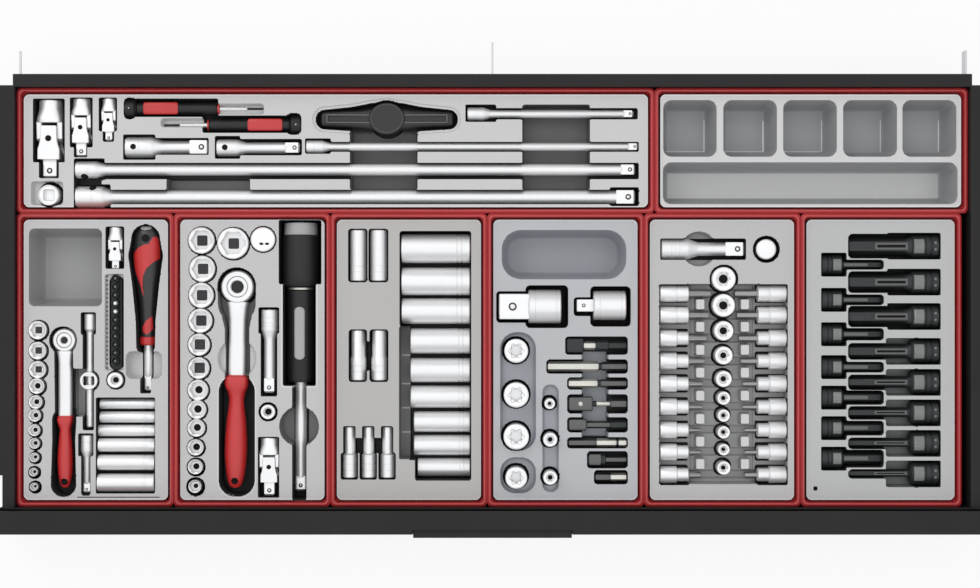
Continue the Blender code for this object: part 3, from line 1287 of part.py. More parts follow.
def fill_f(tray):
    foot = standing_floor(SMALL_STAND_HEIGHT)
    places = column(tray, TORX_STAND_PX, TORX_STAND_PLACES_PX)
    small = column(tray, SMALL_STAND_PX, SMALL_STAND_PLACES_PX)
    base = rail(tray, "torx_sockets", RAILS_F_PX, foot, CHROME)
    bodies, bores = standing("torx_sockets", places + small, SMALL_STAND_HEIGHT, CHROME)
    join(base, bodies)

    def axis_z(radius):
        return foot + radius

    rods = lying_rods(tray, ADAPTORS_F_PX, True, axis_z)
    join(base, new_object("adaptors_f", rod_mesh("adaptors_f", rods, ROW_SIDES), CHROME))
    squares = []
    for square_px, rod in zip(ADAPTOR_SQUARES_F_PX, rods):
        low_x, low_y, high_x, high_y = tray.corners(square_px)
        half = (high_y - low_y) / 2
        squares.append(((low_x, low_y, rod[0][2] - half), (high_x, high_y, rod[0][2] + half)))
    join(base, new_object("squares_f", box_mesh("squares_f", squares), CHROME))
    cut(base, bores)
    standing_pocket(tray, places, SMALL_STAND_HEIGHT)
    standing_pocket(tray, small, SMALL_STAND_HEIGHT)
    lying_pockets(tray, ADAPTORS_F_PX + ADAPTOR_SQUARES_F_PX, foot)
    lying_row(tray, "bits_f", BITS_F_PX, True, RAILS_F_BITS_PX, CHROME)


def side_bits(tray, rows_px, end_px, heading, lengths, radii, foot):
    """Bit sockets that lie across a tray: a round drive end, then a nose that tapers."""
    length, drive_length = lengths
    drive_radius, nose_radius, tip_radius = radii
    nose_start = drive_length * (1 - BIT_LAP_SHARE)
    drives = []
    noses = []
    for y_px in rows_px:
        end = Vector((*tray.spot((end_px, y_px)), foot + drive_radius))
        drives.append((end, end + heading * drive_length, drive_radius, drive_radius))
        noses.append((end + heading * nose_start, end + heading * length, nose_radius,
                      tip_radius))
    return drives, noses


def bit_row(tray, base, name, rows_px, end_px, heading, lengths, radii, foot, look):
    """Add a side's bit sockets to a base piece, and ask for their pockets."""
    sets = side_bits(tray, rows_px, end_px, heading, lengths, radii, foot)
    for number, rods in enumerate(sets):
        part_name = name + "_" + str(number)
        join(base, new_object(part_name, rod_mesh(part_name, rods, BIT_SIDES), look))
    across = radii[0] + POCKET_GAP
    for y_px in rows_px:
        x, y = tray.spot((end_px, y_px))
        near, far = sorted((x, x + heading.x * lengths[0]))
        tray.pocket(near - POCKET_GAP, y - across, far + POCKET_GAP, y + across,
                    foot - CLEARANCE)


def fill_g(tray):
    foot = INSERT_TOP + TOOL_PROUD - 2 * BIT_RADIUS_G
    base = rail(tray, "bit_sockets", RAILS_G_PX, foot, CHROME)
    lengths = (BIT_LENGTH_G, BIT_DRIVE_G)
    radii = (BIT_RADIUS_G, BIT_NOSE_RADIUS_G, BIT_TIP_RADIUS_G)
    left_px, right_px = BIT_ENDS_G_PX
    bit_row(tray, base, "bits_left_g", BIT_ROWS_G_PX, left_px, RIGHT, lengths, radii, foot,
            CHROME)
    bit_row(tray, base, "bits_right_g", BIT_ROWS_G_PX, right_px, LEFT, lengths, radii, foot,
            CHROME)
    places = column(tray, CENTRE_STAND_PX, CENTRE_STAND_PLACES_PX)
    height = INSERT_TOP + STAND_PROUD - foot
    bodies, bores = standing("bit_sockets", places, height, CHROME)
    cut(join(base, bodies), bores)
    standing_pocket(tray, places, height)
    bar = extension("short_bar_g", tray, SHORT_BAR_G_PX, RIGHT, SHORT_BAR, HALF_SQUARE,
                    HALF_SOCKET_RADIUS, HALF_SOCKET_LENGTH, HALF_SHAFT_RADIUS)
    square_foot = INSERT_TOP + TOOL_PROUD - HALF_SOCKET_RADIUS - HALF_SQUARE / 2
    tie(bar, tray, TIE_CAP_G_PX, square_foot - RAIL_RAISE, square_foot + RAIL_HEIGHT, CHROME)
    stand_beside(bar, tray, CAP_G_PX, CAP_G_RADIUS_PX, square_foot - RAIL_RAISE, CHROME)


def fill_h(tray):
    foot = INSERT_TOP + TOOL_PROUD - 2 * BIT_RADIUS_H
    base = rail(tray, "impact_bit_sockets", RAILS_H_PX, foot, BLACK_STEEL)
    radii = (BIT_RADIUS_H, BIT_NOSE_RADIUS_H, BIT_TIP_RADIUS_H)
    left_px, right_px = BIT_ENDS_H_PX
    bit_row(tray, base, "bits_right_h", BIT_ROWS_RIGHT_H_PX, right_px, LEFT,
            (BIT_LENGTH_RIGHT_H, BIT_DRIVE_RIGHT_H), radii, foot, BLACK_STEEL)
    bit_row(tray, base, "bits_left_h", BIT_ROWS_LEFT_H_PX, left_px, RIGHT,
            (BIT_LENGTH_LEFT_H, BIT_DRIVE_LEFT_H), radii, foot, BLACK_STEEL)


TRAYS = make_trays()
make_pan()
make_front()
make_runners()
make_catch()
fill_a(TRAYS["a"])
fill_c(TRAYS["c"])
fill_d(TRAYS["d"])
fill_e(TRAYS["e"])
fill_f(TRAYS["f"])
fill_g(TRAYS["g"])
fill_h(TRAYS["h"])
for each_tray in TRAYS.values():
    ask_open_spaces(each_tray)
    make_tray_body(each_tray)
    make_insert(each_tray)
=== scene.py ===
"""Finish of the tool drawer: moulded inserts, chrome tools, red trays and the studio round them."""

import bpy
import numpy as np
from mathutils import Matrix, Vector


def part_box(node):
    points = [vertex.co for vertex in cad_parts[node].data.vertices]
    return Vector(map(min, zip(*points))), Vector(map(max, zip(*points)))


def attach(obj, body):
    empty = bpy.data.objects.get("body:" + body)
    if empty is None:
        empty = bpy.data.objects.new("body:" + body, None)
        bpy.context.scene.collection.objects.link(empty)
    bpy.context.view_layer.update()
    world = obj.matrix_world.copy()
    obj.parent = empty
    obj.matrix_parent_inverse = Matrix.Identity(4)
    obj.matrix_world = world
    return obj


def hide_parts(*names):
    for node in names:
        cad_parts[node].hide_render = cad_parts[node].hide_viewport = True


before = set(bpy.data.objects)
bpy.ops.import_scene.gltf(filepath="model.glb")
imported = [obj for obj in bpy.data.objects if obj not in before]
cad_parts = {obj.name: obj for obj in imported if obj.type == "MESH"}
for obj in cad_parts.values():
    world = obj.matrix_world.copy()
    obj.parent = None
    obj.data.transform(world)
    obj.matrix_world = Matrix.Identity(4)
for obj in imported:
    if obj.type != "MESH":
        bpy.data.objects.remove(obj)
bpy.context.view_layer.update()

# Pixel windows of the photograph that the trays fill: left, top, right, bottom
WINDOWS_PX = {
    "a": (17, 88, 655, 213),
    "b": (657, 88, 970, 213),
    "c": (18.4, 212.8, 175.4, 505.8),
    "d": (174, 212.8, 331, 505.8),
    "e": (331, 212.8, 488, 505.8),
    "f": (485.2, 212.8, 642.2, 505.8),
    "g": (643.2, 212.8, 800.2, 505.8),
    "h": (799.5, 212.8, 958.5, 505.8),
}
PX = 0.0009  # metres a pixel of the photograph
MM = 0.001
INSERT_BASE, INSERT_TOP = (corner.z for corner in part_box("insert_a"))
TOOL_TOP = INSERT_TOP + 0.001

RIGHT = Vector((1, 0, 0))
LEFT = Vector((-1, 0, 0))
FRONT = Vector((0, -1, 0))
UP = Vector((0, 0, 1))
DOWN = Vector((0, 0, -1))


def spot(letter, x, y):
    """Place in the drawer of a pixel of the photograph."""
    left, top, right, bottom = WINDOWS_PX[letter]
    low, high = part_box("tray_" + letter)
    return (low.x + (x - left) / (right - left) * (high.x - low.x),
            low.y + (bottom - y) / (bottom - top) * (high.y - low.y))


# Objects and meshes

def linked(name, data):
    """New object in the scene."""
    item = bpy.data.objects.new(name, data)
    bpy.context.scene.collection.objects.link(item)
    return item


def new_mesh(name, points, faces, looks=()):
    """New mesh with its finishes."""
    mesh = bpy.data.meshes.new(name)
    mesh.from_pydata(points, [], faces)
    for look in looks:
        mesh.materials.append(look)
    return mesh


def worked_out(item):
    """Plain mesh of what an object's modifiers make."""
    return bpy.data.meshes.new_from_object(
        item.evaluated_get(bpy.context.evaluated_depsgraph_get()))


# Shader groups

class Nodes:
    """A few short words for building a node tree."""

    def __init__(self, tree):
        self.tree = tree

    def join(self, start, end):
        self.tree.links.new(start, end)

    def feed(self, value, socket):
        """Join another socket to this one, or give it a plain value."""
        if isinstance(value, bpy.types.NodeSocket):
            self.join(value, socket)
        elif socket.type == "RGBA":
            socket.default_value = (*value, 1)
        else:
            socket.default_value = value

    def make(self, kind, fed=None, **settings):
        """New node with its settings, its inputs fed by name or number."""
        node = self.tree.nodes.new(kind)
        for key, value in settings.items():
            setattr(node, key, value)
        for key, value in (fed or {}).items():
            self.feed(value, node.inputs[key])
        return node

    def maths(self, operation, first, second):
        """Result of a maths node on two values."""
        return self.make("ShaderNodeMath", {0: first, 1: second}, operation=operation).outputs[0]

    def ramp(self, value, low, high):
        """Share of the way from low to high, kept between 0 and 1."""
        fed = {"Value": value, "From Min": low, "From Max": high}
        return self.make("ShaderNodeMapRange", fed).outputs[0]

    def noise(self, vector, scale, detail):
        """Noise around 0.5."""
        fed = {"Vector": vector, "Scale": scale, "Detail": detail}
        return self.make("ShaderNodeTexNoise", fed).outputs["Fac"]

    def stretch(self, vector, size):
        """Place scaled by its own factor along each axis."""
        return self.make("ShaderNodeMapping", {"Vector": vector, "Scale": size}).outputs["Vector"]

    def blend(self, share, first, second):
        """Colour between two others."""
        fed = {0: share, 6: first, 7: second}
        return self.make("ShaderNodeMix", fed, data_type="RGBA").outputs[2]


def shader_group(name, inputs, outputs):
    """Node group with named float, colour and vector sockets."""
    tree = bpy.data.node_groups.new(name, "ShaderNodeTree")
    kinds = {"f": "NodeSocketFloat", "c": "NodeSocketColor", "v": "NodeSocketVector"}
    for side, words in (("INPUT", inputs), ("OUTPUT", outputs)):
        for word, kind in words:
            tree.interface.new_socket(word, in_out=side, socket_type=kinds[kind])
    nodes = Nodes(tree)
    return tree, nodes, nodes.make("NodeGroupInput").outputs, nodes.make("NodeGroupOutput").inputs


def grain_group():
    """Fine moulded or sprayed grain, with broad cloudiness in the colour and the gloss."""
    tree, nodes, given, result = shader_group(
        "surface_grain",
        (("Place", "v"), ("Colour", "c"), ("Size", "f"), ("Cloud", "f"), ("Gloss", "f")),
        (("Colour", "c"), ("Roughness", "f"), ("Height", "f")))
    fine = nodes.noise(given["Place"], given["Size"], 3.0)
    broad = nodes.noise(given["Place"], 22.0, 3.0)
    cloud = nodes.maths("SUBTRACT", broad, 0.5)
    shade = nodes.maths("MULTIPLY", cloud, given["Cloud"])
    speck = nodes.maths("MULTIPLY", nodes.maths("SUBTRACT", fine, 0.5), 0.12)
    tone = nodes.maths("ADD", nodes.maths("ADD", shade, speck), 1.0)
    scaled = nodes.make("ShaderNodeVectorMath", {0: given["Colour"], "Scale": tone},
                        operation="SCALE")
    nodes.join(scaled.outputs[0], result["Colour"])
    change = nodes.maths("MULTIPLY", cloud, 0.25)
    nodes.join(nodes.maths("ADD", given["Gloss"], change), result["Roughness"])
    nodes.join(fine, result["Height"])
    return tree


def handling_group():
    """Scuffs from handling: thin crossing scratches, and patches rubbed smooth or dull."""
    tree, nodes, given, result = shader_group(
        "handling_scuffs", (("Place", "v"), ("Amount", "f")), (("Scratch", "f"), ("Rub", "f")))
    down = nodes.noise(nodes.stretch(given["Place"], (900, 26, 60)), 1.0, 1.0)
    across = nodes.noise(nodes.stretch(given["Place"], (30, 800, 60)), 1.0, 1.0)
    lines = nodes.maths("MAXIMUM", nodes.ramp(down, 0.70, 0.76), nodes.ramp(across, 0.71, 0.77))
    patch = nodes.ramp(nodes.noise(given["Place"], 45.0, 3.0), 0.42, 0.66)
    scratch = nodes.maths("MULTIPLY", lines, patch)
    nodes.join(nodes.maths("MULTIPLY", scratch, given["Amount"]), result["Scratch"])
    nodes.join(nodes.maths("MULTIPLY", patch, given["Amount"]), result["Rub"])
    return tree


GRAIN = grain_group()
SCUFFS = handling_group()


# Finishes

def finish(name, colour, roughness, metallic=0.0, grain=900.0, cloud=0.08, bump=0.00004,
           scuff=0.3, scuff_colour=None, coat=0.0, specular=0.5):
    """A material from the two shared groups, laid on Object coordinates."""
    made = bpy.data.materials.new(name)
    made.use_nodes = True
    made.diffuse_color = (*colour, 1)
    nodes = Nodes(made.node_tree)
    place = nodes.make("ShaderNodeTexCoord").outputs["Object"]
    fed = {"Place": place, "Colour": colour, "Size": grain, "Cloud": cloud, "Gloss": roughness}
    surface = nodes.make("ShaderNodeGroup", fed, node_tree=GRAIN).outputs
    wear = nodes.make("ShaderNodeGroup", {"Place": place, "Amount": scuff}, node_tree=SCUFFS).outputs
    worn = scuff_colour or tuple(min(1.0, channel * 1.35 + 0.02) for channel in colour)
    dull = nodes.maths("MULTIPLY", wear["Rub"], 0.12)
    bumps = nodes.make("ShaderNodeBump",
                       {"Strength": 0.6, "Distance": bump, "Height": surface["Height"]})
    shader = made.node_tree.nodes["Principled BSDF"].inputs
    for word, value in (("Base Color", nodes.blend(wear["Scratch"], surface["Colour"], worn)),
                        ("Roughness", nodes.maths("ADD", surface["Roughness"], dull)),
                        ("Normal", bumps.outputs["Normal"]), ("Metallic", metallic),
                        ("Coat Weight", coat), ("Specular IOR Level", specular)):
        nodes.feed(value, shader[word])
    return made


CHARCOAL = finish("charcoal_powder_coat", (0.0165, 0.0150, 0.0150), 0.55, grain=1500, bump=0.00012,
                  cloud=0.12, scuff=0.25, specular=0.25)
ZINC = finish("zinc_plate", (0.56, 0.56, 0.58), 0.32, 1.0, grain=500, cloud=0.2)
RED = finish("red_tray_plastic", (0.36, 0.017, 0.020), 0.42, grain=1200, cloud=0.15, scuff=0.3,
             scuff_colour=(0.48, 0.09, 0.09), specular=0.35)
# Paler copy of the tray red for the rim's rounded shoulder: painted highlight
RED_EDGE_HIGHLIGHT = finish("red_tray_edge_highlight", (0.50, 0.062, 0.062), 0.40, grain=1200, cloud=0.15, scuff=0.3)
CHROME = finish("satin_chrome", (0.82, 0.82, 0.82), 0.38, 0.62, grain=2500, cloud=0.05,
                bump=0.00001, scuff=0.25)
BRIGHT = finish("bright_chrome", (0.82, 0.82, 0.82), 0.30, 0.70, grain=1500, cloud=0.04,
                bump=0.000005, scuff=0.2)
BORE = finish("shaded_bore", (0.055, 0.055, 0.057), 0.5, 1.0, grain=900, bump=0.00002)
# Darker copy of the bright chrome for the floor and walls inside socket mouths: painted shade
RECESS_SHADE = finish("socket_recess_shade", (0.68, 0.68, 0.68), 0.34, 0.85, grain=1500, bump=0.000005)
HOLE = finish("shadowed_hole", (0.012, 0.012, 0.012), 0.8, grain=900, bump=0.00002, specular=0.1)
BLACK_STEEL = finish("black_phosphate", (0.035, 0.040, 0.040), 0.42, 0.6, grain=1400, cloud=0.25,
                     scuff=0.5, scuff_colour=(0.16, 0.17, 0.17))
BIT_STEEL = finish("dark_bit_steel", (0.12, 0.12, 0.12), 0.33, 0.9, grain=1400, cloud=0.2,
                   scuff=0.4, scuff_colour=(0.3, 0.3, 0.3))
MID_STEEL = finish("grey_bit_steel", (0.30, 0.30, 0.30), 0.36, 0.8, grain=1200, cloud=0.15)
PALE_STEEL = finish("pale_bit_steel", (0.62, 0.61, 0.56), 0.38, 0.9, grain=1200, cloud=0.15)
BLACK_GRIP = finish("black_grip_plastic", (0.010, 0.010, 0.011), 0.42, grain=1600, bump=0.00008,
                    cloud=0.15, specular=0.4)
GLOSS_GRIP = finish("glossy_black_grip", (0.016, 0.016, 0.017), 0.34, grain=1300, cloud=0.1, coat=0.2)
BLACK_ARM = finish("black_handle_steel", (0.022, 0.022, 0.023), 0.38, 0.2, grain=1400, cloud=0.2,
                   scuff=0.3)
RED_GRIP = finish("red_grip_plastic", (0.54, 0.024, 0.024), 0.36, grain=900, cloud=0.08,
                  coat=0.2)
GREY_PLASTIC = finish("grey_window_plastic", (0.36, 0.36, 0.36), 0.3, grain=900, cloud=0.08,
                      coat=0.3)
ETCHED = finish("etched_panel", (0.20, 0.21, 0.20), 0.5, 0.3, grain=2600, cloud=0.4, scuff=1.0,
                scuff_colour=(0.5, 0.5, 0.48))
INSERT_TONES = {
    "a": (0.56, 0.56, 0.55), "b": (0.60, 0.60, 0.595), "c": (0.52, 0.515, 0.515),
    "d": (0.52, 0.515, 0.51), "e": (0.45, 0.44, 0.425), "f": (0.46, 0.47, 0.485),
    "g": (0.49, 0.485, 0.48), "h": (0.47, 0.475, 0.47),
}
# Darker copies of each insert's plastic for the deep wells: painted shade
WELL_SHADE_TONES = {
    "a": (0.105, 0.105, 0.105), "b": (0.35, 0.355, 0.36), "c": (0.33, 0.33, 0.33),
    "d": (0.17, 0.17, 0.17), "e": (0.15, 0.15, 0.15), "f": (0.33, 0.345, 0.37),
    "g": (0.30, 0.30, 0.30), "h": (0.16, 0.18, 0.175),
}
# Lighter copies of each insert's plastic for the rim band, posts and thin lines: painted highlight
LIP_HIGHLIGHT_TONES = {letter: tuple(channel * 1.22 for channel in tone)
             for letter, tone in INSERT_TONES.items()}


def insert_finishes(word, tones, roughness, cloud, bump, scuff):
    """The same plastic in each tray's own tone, or a darker copy of it as painted shade, or a lighter
    copy as painted highlight.
    """
    return {letter: finish("insert_" + word + "_" + letter, tone, roughness, grain=1300, cloud=cloud,
                           bump=bump, scuff=scuff) for letter, tone in tones.items()}


INSERT_LOOKS = insert_finishes("plastic", INSERT_TONES, 0.48, 0.06, 0.00007, 0.2)
WELL_SHADE_LOOKS = insert_finishes("well", WELL_SHADE_TONES, 0.5, 0.10, 0.00007, 0.3)
# Near-black plastic painted into the tool pockets and the groove round each insert: painted shade
POCKET_SHADE = finish("pocket_painted_shade", (0.030, 0.030, 0.031), 0.7, grain=1300, bump=0.00005,
                      specular=0.25)
LIP_HIGHLIGHT_LOOKS = insert_finishes("lip", LIP_HIGHLIGHT_TONES, 0.42, 0.06, 0.00005, 0.15)

# Shapes

def section(kind, sides):
    """Points of a ring of a given outline, for a half width or corner of one."""
    angle = np.arange(sides) * 2 * np.pi / sides
    powers = {"square": 12, "soft": 4}
    if kind == "hex":
        radius = np.cos(np.pi / 6) / np.cos(angle % (np.pi / 3) - np.pi / 6)
    elif kind in powers:
        power = powers[kind]
        radius = (np.abs(np.cos(angle)) ** power + np.abs(np.sin(angle)) ** power) ** (-1 / power)
    elif kind == "star":
        radius = 0.87 + 0.13 * np.cos(6 * angle)
    elif kind == "ribbed":
        radius = 1 - 0.035 * (np.arange(sides) % 2)
    else:
        radius = np.ones(sides)
    return np.stack((radius * np.cos(angle), radius * np.sin(angle)), 1)


def tube(rings, sides=32, shift=(0, 0)):
    """Skin over rings of (distance, radius, outline, height as a share of the width)."""
    points = []
    for ring in rings:
        distance, radius, kind, flat = (*ring, *("round", 1)[len(ring) - 2:])
        flat_ring = section(kind, sides) * (radius, radius * flat) + shift
        points.append(np.column_stack((flat_ring, np.full(sides, distance))))
    count = len(rings)
    steps = np.arange(sides)
    after = (steps + 1) % sides
    faces = [tuple(steps[::-1])]
    for row in range(count - 1):
        start = row * sides
        faces += [(start + a, start + b, start + sides + b, start + sides + a)
                  for a, b in zip(steps, after)]
    faces.append(tuple((count - 1) * sides + steps))
    return np.concatenate(points), faces


def seat(place, heading, level, up=UP):
    """Frame of a tool: its head at a place, its length along a heading."""
    across = up.cross(heading)
    turn = Matrix((across, up, heading)).transposed().to_4x4()
    return Matrix.Translation((place[0], place[1], level)) @ turn


def standing_seat(place, level):
    """Frame of a tool that stands upright, its head on top."""
    return seat(place, DOWN, level, Vector((0, 1, 0)))


def lying(letter, x, y, heading, radius):
    """Frame of a tool that lies in a tray, its upper side at the common height."""
    return seat(spot(letter, x, y), heading, TOOL_TOP - radius)


class Piece:
    """A piece of the drawer, gathered from several shapes and finishes."""

    def __init__(self, name):
        self.name = name
        self.points = []
        self.faces = []
        self.marks = []
        self.looks = []
        self.size = 0

    def add(self, shape, frame_of_shape, look, second=None, second_faces=()):
        """Add a shape in one finish, or with a second one on some of its faces."""
        points, faces = shape
        turn = np.array(frame_of_shape)
        self.points.append(points @ turn[:3, :3].T + turn[:3, 3])
        for found in (look, second):
            if found and found not in self.looks:
                self.looks.append(found)
        self.faces += [tuple(corner + self.size for corner in face) for face in faces]
        marks = [self.looks.index(look)] * len(faces)
        for number in second_faces:
            marks[number] = self.looks.index(second)
        self.marks += marks
        self.size += len(points)

    def done(self, body, nodes):
        """Make the mesh and let it ride on its body."""
        mesh = new_mesh(self.name, np.concatenate(self.points), self.faces, self.looks)
        mesh.polygons.foreach_set("material_index", self.marks)
        settle(self.name, mesh, body, nodes)


def settle(name, mesh, body, nodes, angle=34):
    """Shade a finished mesh, and let it ride on its body in place of the plain solids."""
    mesh.shade_smooth()
    mesh.set_sharp_from_angle(angle=np.radians(angle))
    item = linked(name, mesh)
    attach(item, body)
    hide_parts(*nodes)


# Rows of like pieces, laid out with Geometry Nodes

def row_tree():
    """Set a pattern piece on each point, by the point's own turn and size."""
    tree = bpy.data.node_groups.new("row_of_pieces", "GeometryNodeTree")
    for word, side, kind in (("Geometry", "INPUT", "Geometry"), ("Pattern", "INPUT", "Object"),
                             ("Metal", "INPUT", "Material"), ("Inner metal", "INPUT", "Material"),
                             ("Geometry", "OUTPUT", "Geometry")):
        tree.interface.new_socket(word, in_out=side, socket_type="NodeSocket" + kind)
    nodes = Nodes(tree)
    given = nodes.make("NodeGroupInput").outputs
    result = nodes.make("NodeGroupOutput").inputs

    def stored(word, kind):
        node = nodes.make("GeometryNodeInputNamedAttribute", {"Name": word}, data_type=kind)
        return node.outputs["Attribute"]

    pattern = nodes.make("GeometryNodeObjectInfo", {"Object": given["Pattern"]})
    turn = nodes.make("FunctionNodeEulerToRotation", {"Euler": stored("turn", "FLOAT_VECTOR")})
    place = nodes.make("GeometryNodeInstanceOnPoints", {
        "Points": given["Geometry"], "Instance": pattern.outputs["Geometry"],
        "Rotation": turn.outputs["Rotation"], "Scale": stored("size", "FLOAT_VECTOR")})
    real = nodes.make("GeometryNodeRealizeInstances", {"Geometry": place.outputs["Instances"]})
    coat = nodes.make("GeometryNodeSetMaterial", {
        "Geometry": real.outputs["Geometry"], "Material": given["Metal"]})
    above = nodes.make("FunctionNodeCompare", {"A": stored("inner", "FLOAT"), "B": 0.5},
                       operation="GREATER_THAN")
    inner = nodes.make("GeometryNodeSetMaterial", {
        "Geometry": coat.outputs["Geometry"], "Selection": above.outputs["Result"],
        "Material": given["Inner metal"]})
    nodes.join(inner.outputs["Geometry"], result["Geometry"])
    return tree


ROW = row_tree()


def laid_row(piece, shape, frames, sizes, look, inner_faces, inner_look):
    """Add a pattern shape to a piece, once for each frame and size."""
    pattern_mesh = new_mesh("pattern", *shape)
    marks = pattern_mesh.attributes.new("inner", "FLOAT", "FACE")
    marks.data.foreach_set("value", [float(i in inner_faces) for i in range(len(shape[1]))])
    pattern = linked("pattern", pattern_mesh)
    points = new_mesh("row", [tuple(where.translation) for where in frames], [])
    for word, values in (("turn", [tuple(where.to_euler()) for where in frames]),
                         ("size", sizes)):
        store = points.attributes.new(word, "FLOAT_VECTOR", "POINT")
        store.data.foreach_set("vector", np.array(values, np.float32).ravel())
    holder = linked("row", points)
    step = holder.modifiers.new("row", "NODES")
    step.node_group = ROW
    keys = {socket.name: socket.identifier for socket in ROW.interface.items_tree
            if socket.in_out == "INPUT"}
    step[keys["Pattern"]] = pattern
    step[keys["Metal"]] = look
    step[keys["Inner metal"]] = inner_look or look
    mesh = worked_out(holder)
    for item in (pattern, holder):
        bpy.data.objects.remove(item)
    points = np.array([vertex.co for vertex in mesh.vertices])
    for index, found in enumerate(mesh.materials):
        faces = [tuple(face.vertices) for face in mesh.polygons if face.material_index == index]
        if faces:
            used = np.unique(np.concatenate([np.array(face) for face in faces]))
            order = {old: new for new, old in enumerate(used)}
            faces = [tuple(order[v] for v in face) for face in faces]
            piece.add((points[used], faces), Matrix(), found)


# Shapes along a tool: x across, y up, z away from its head

UPRIGHT = Matrix.Rotation(-np.pi / 2, 4, "X")
DOWNRIGHT = Matrix.Rotation(np.pi / 2, 4, "X")


def along(distance, rise=0.0, side=0.0):
    """Shift along a tool, and up or across it."""
    return Matrix.Translation((side, rise, distance))


def slab(near, far, half_side, half_rise, ease=0.0004, shift=(0, 0)):
    """Block along a tool, its edges eased."""
    flat = half_rise / half_side
    thin = (half_rise - ease) / (half_side - ease)
    return tube([(near, half_side - ease, "square", thin), (near + ease, half_side, "square", flat),
                 (far - ease, half_side, "square", flat), (far, half_side - ease, "square", thin)],
                32, shift)


def stud(piece, where, distance, rise, radius, look, dome=0.0):
    """Small round mark or stud on the upper side of a tool."""
    rings = [(-0.0008, radius), (0.00004, radius)]
    if dome:
        rings += [(dome * 0.5, radius * 0.86), (dome * 0.85, radius * 0.5), (dome, radius * 0.12)]
    piece.add(tube(rings, 20), where @ along(distance, rise) @ UPRIGHT, look)


def panel_on_round(near, far, radius, spread):
    """Thin curved plate let into the upper side of a round tool."""
    count = 9
    angles = np.pi / 2 + np.linspace(-spread, spread, count)
    rows = [np.column_stack((r * np.cos(angles), r * np.sin(angles), np.full(count, z)))
            for z, r in ((near, radius - 0.0004), (near, radius + 0.00006),
                         (far, radius + 0.00006), (far, radius - 0.0004))]
    faces = []
    for row in range(4):
        start, after = row * count, (row + 1) % 4 * count
        faces += [(start + a, after + a, after + a + 1, start + a + 1) for a in range(count - 1)]
    faces += [(0, 3 * count, 2 * count, count), tuple(row * count - 1 for row in (1, 2, 3, 4))]
    return np.concatenate(rows), [face[::-1] for face in faces]


def square_end(piece, where, near, length, square):
    """Square drive with eased corners and its ball."""
    half = square / 2
    piece.add(tube([(near - 0.001, half * 0.96, "square"), (near + 0.0004, half, "square"),
                    (length - 0.0014, half, "square"), (length, half - 0.001, "square")]),
              where, BRIGHT)
    centre = length - square * 0.48
    stud(piece, where, centre, half, square * 0.21, BORE)
    stud(piece, where, centre, half + 0.00006, square * 0.13, BRIGHT, square * 0.07)


def square_mouth(square):
    """Rings of the square hole in the head of a bar."""
    half = square / 2
    return [(square * 1.3, half, "square"), (0.0005, half, "square"), (0, half * 1.2, "square")]


def grooves(places, radius, width=0.0007):
    """Rings of shallow turned grooves."""
    low = radius - 0.00022
    rings = []
    for place in places:
        rings += [(place, radius), (place + width * 0.3, low), (place + width * 0.7, low),
                  (place + width, radius)]
    return rings


# Extension bars: square, head radius, head length and shaft radius
HALF = (0.0127, 0.0098, 0.0245, 0.0062)
THREE_EIGHTHS = (0.0095, 0.0078, 0.019, 0.0052)
QUARTER = (0.0063, 0.006, 0.015, 0.0036)
HOLE_PLACE = 0.0078


def bar(piece, where, length, square, radius, socket_length, shaft, bands, hole=0):
    """Extension bar: turned head with a square hole, a cone, a shaft and a square end."""
    end = length - square * 1.25
    rings = square_mouth(square) + [(0, radius - 0.0007), (0.0007, radius)]
    rings += grooves([socket_length * band for band in bands], radius)
    rings += [(socket_length - 0.0006, radius), (socket_length + 0.0002, radius - 0.0003),
              (socket_length + radius * 0.75, shaft + 0.0006), (socket_length + radius, shaft),
              (end - 0.0006, shaft), (end, shaft * 0.9)]
    piece.add(tube(rings, 36), where, CHROME)
    square_end(piece, where, end, length, square)
    if hole:
        stud(piece, where, HOLE_PLACE, radius + 0.00003, hole, HOLE)


# Universal joints

PIVOT_SHARE = 0.61
# Length, half width and square of the three sizes
HALF_JOINT = (0.070, 0.0122, 0.0127)
THREE_EIGHTHS_JOINT = (0.052, 0.0092, 0.0095)
QUARTER_JOINT = (0.038, 0.0066, 0.0063)


def universal_joint(piece, where, sizes):
    """Both yokes of a joint that lies straight."""
    joint_socket(piece, where, *sizes)
    joint_drive(piece, where, *sizes)


def joint_socket(piece, where, length, radius, square, mouth=0.91):
    """Yoke with the square hole; its arms run on at the sides."""
    pivot = PIVOT_SHARE * (length - square)
    root = pivot - 1.18 * radius
    wide = 0.97
    rings = square_mouth(square) + [(0, radius * (mouth - 0.05)), (0.0008, radius * mouth),
                                    (root * 0.4, radius * (mouth + 0.01)),
                                    (root * 0.8, radius * wide * 0.99, "soft"),
                                    (root - 0.0010, radius * wide, "soft"),
                                    (root, radius * wide * 0.97, "soft")]
    piece.add(tube(rings, 36), where, BRIGHT)
    arm = [(root - 0.0030, radius * 0.17, "square", 3.2), (root, radius * 0.20, "square", 3.6),
           (pivot, radius * 0.20, "square", 3.2),
           (pivot + radius * 0.12, radius * 0.19, "square", 2.8),
           (pivot + radius * 0.26, radius * 0.10, "square", 2.4)]
    pin = tube([(-0.0008, radius * 0.24), (0.0001, radius * 0.24), (0.0002, radius * 0.18)], 20)
    for side in (-1, 1):
        piece.add(tube(arm, 32, (side * radius * (wide - 0.20), 0)), where, BRIGHT)
        outward = Matrix.Rotation(side * np.pi / 2, 4, "Y")
        piece.add(pin, where @ along(pivot, 0, side * radius * wide) @ outward, BORE)


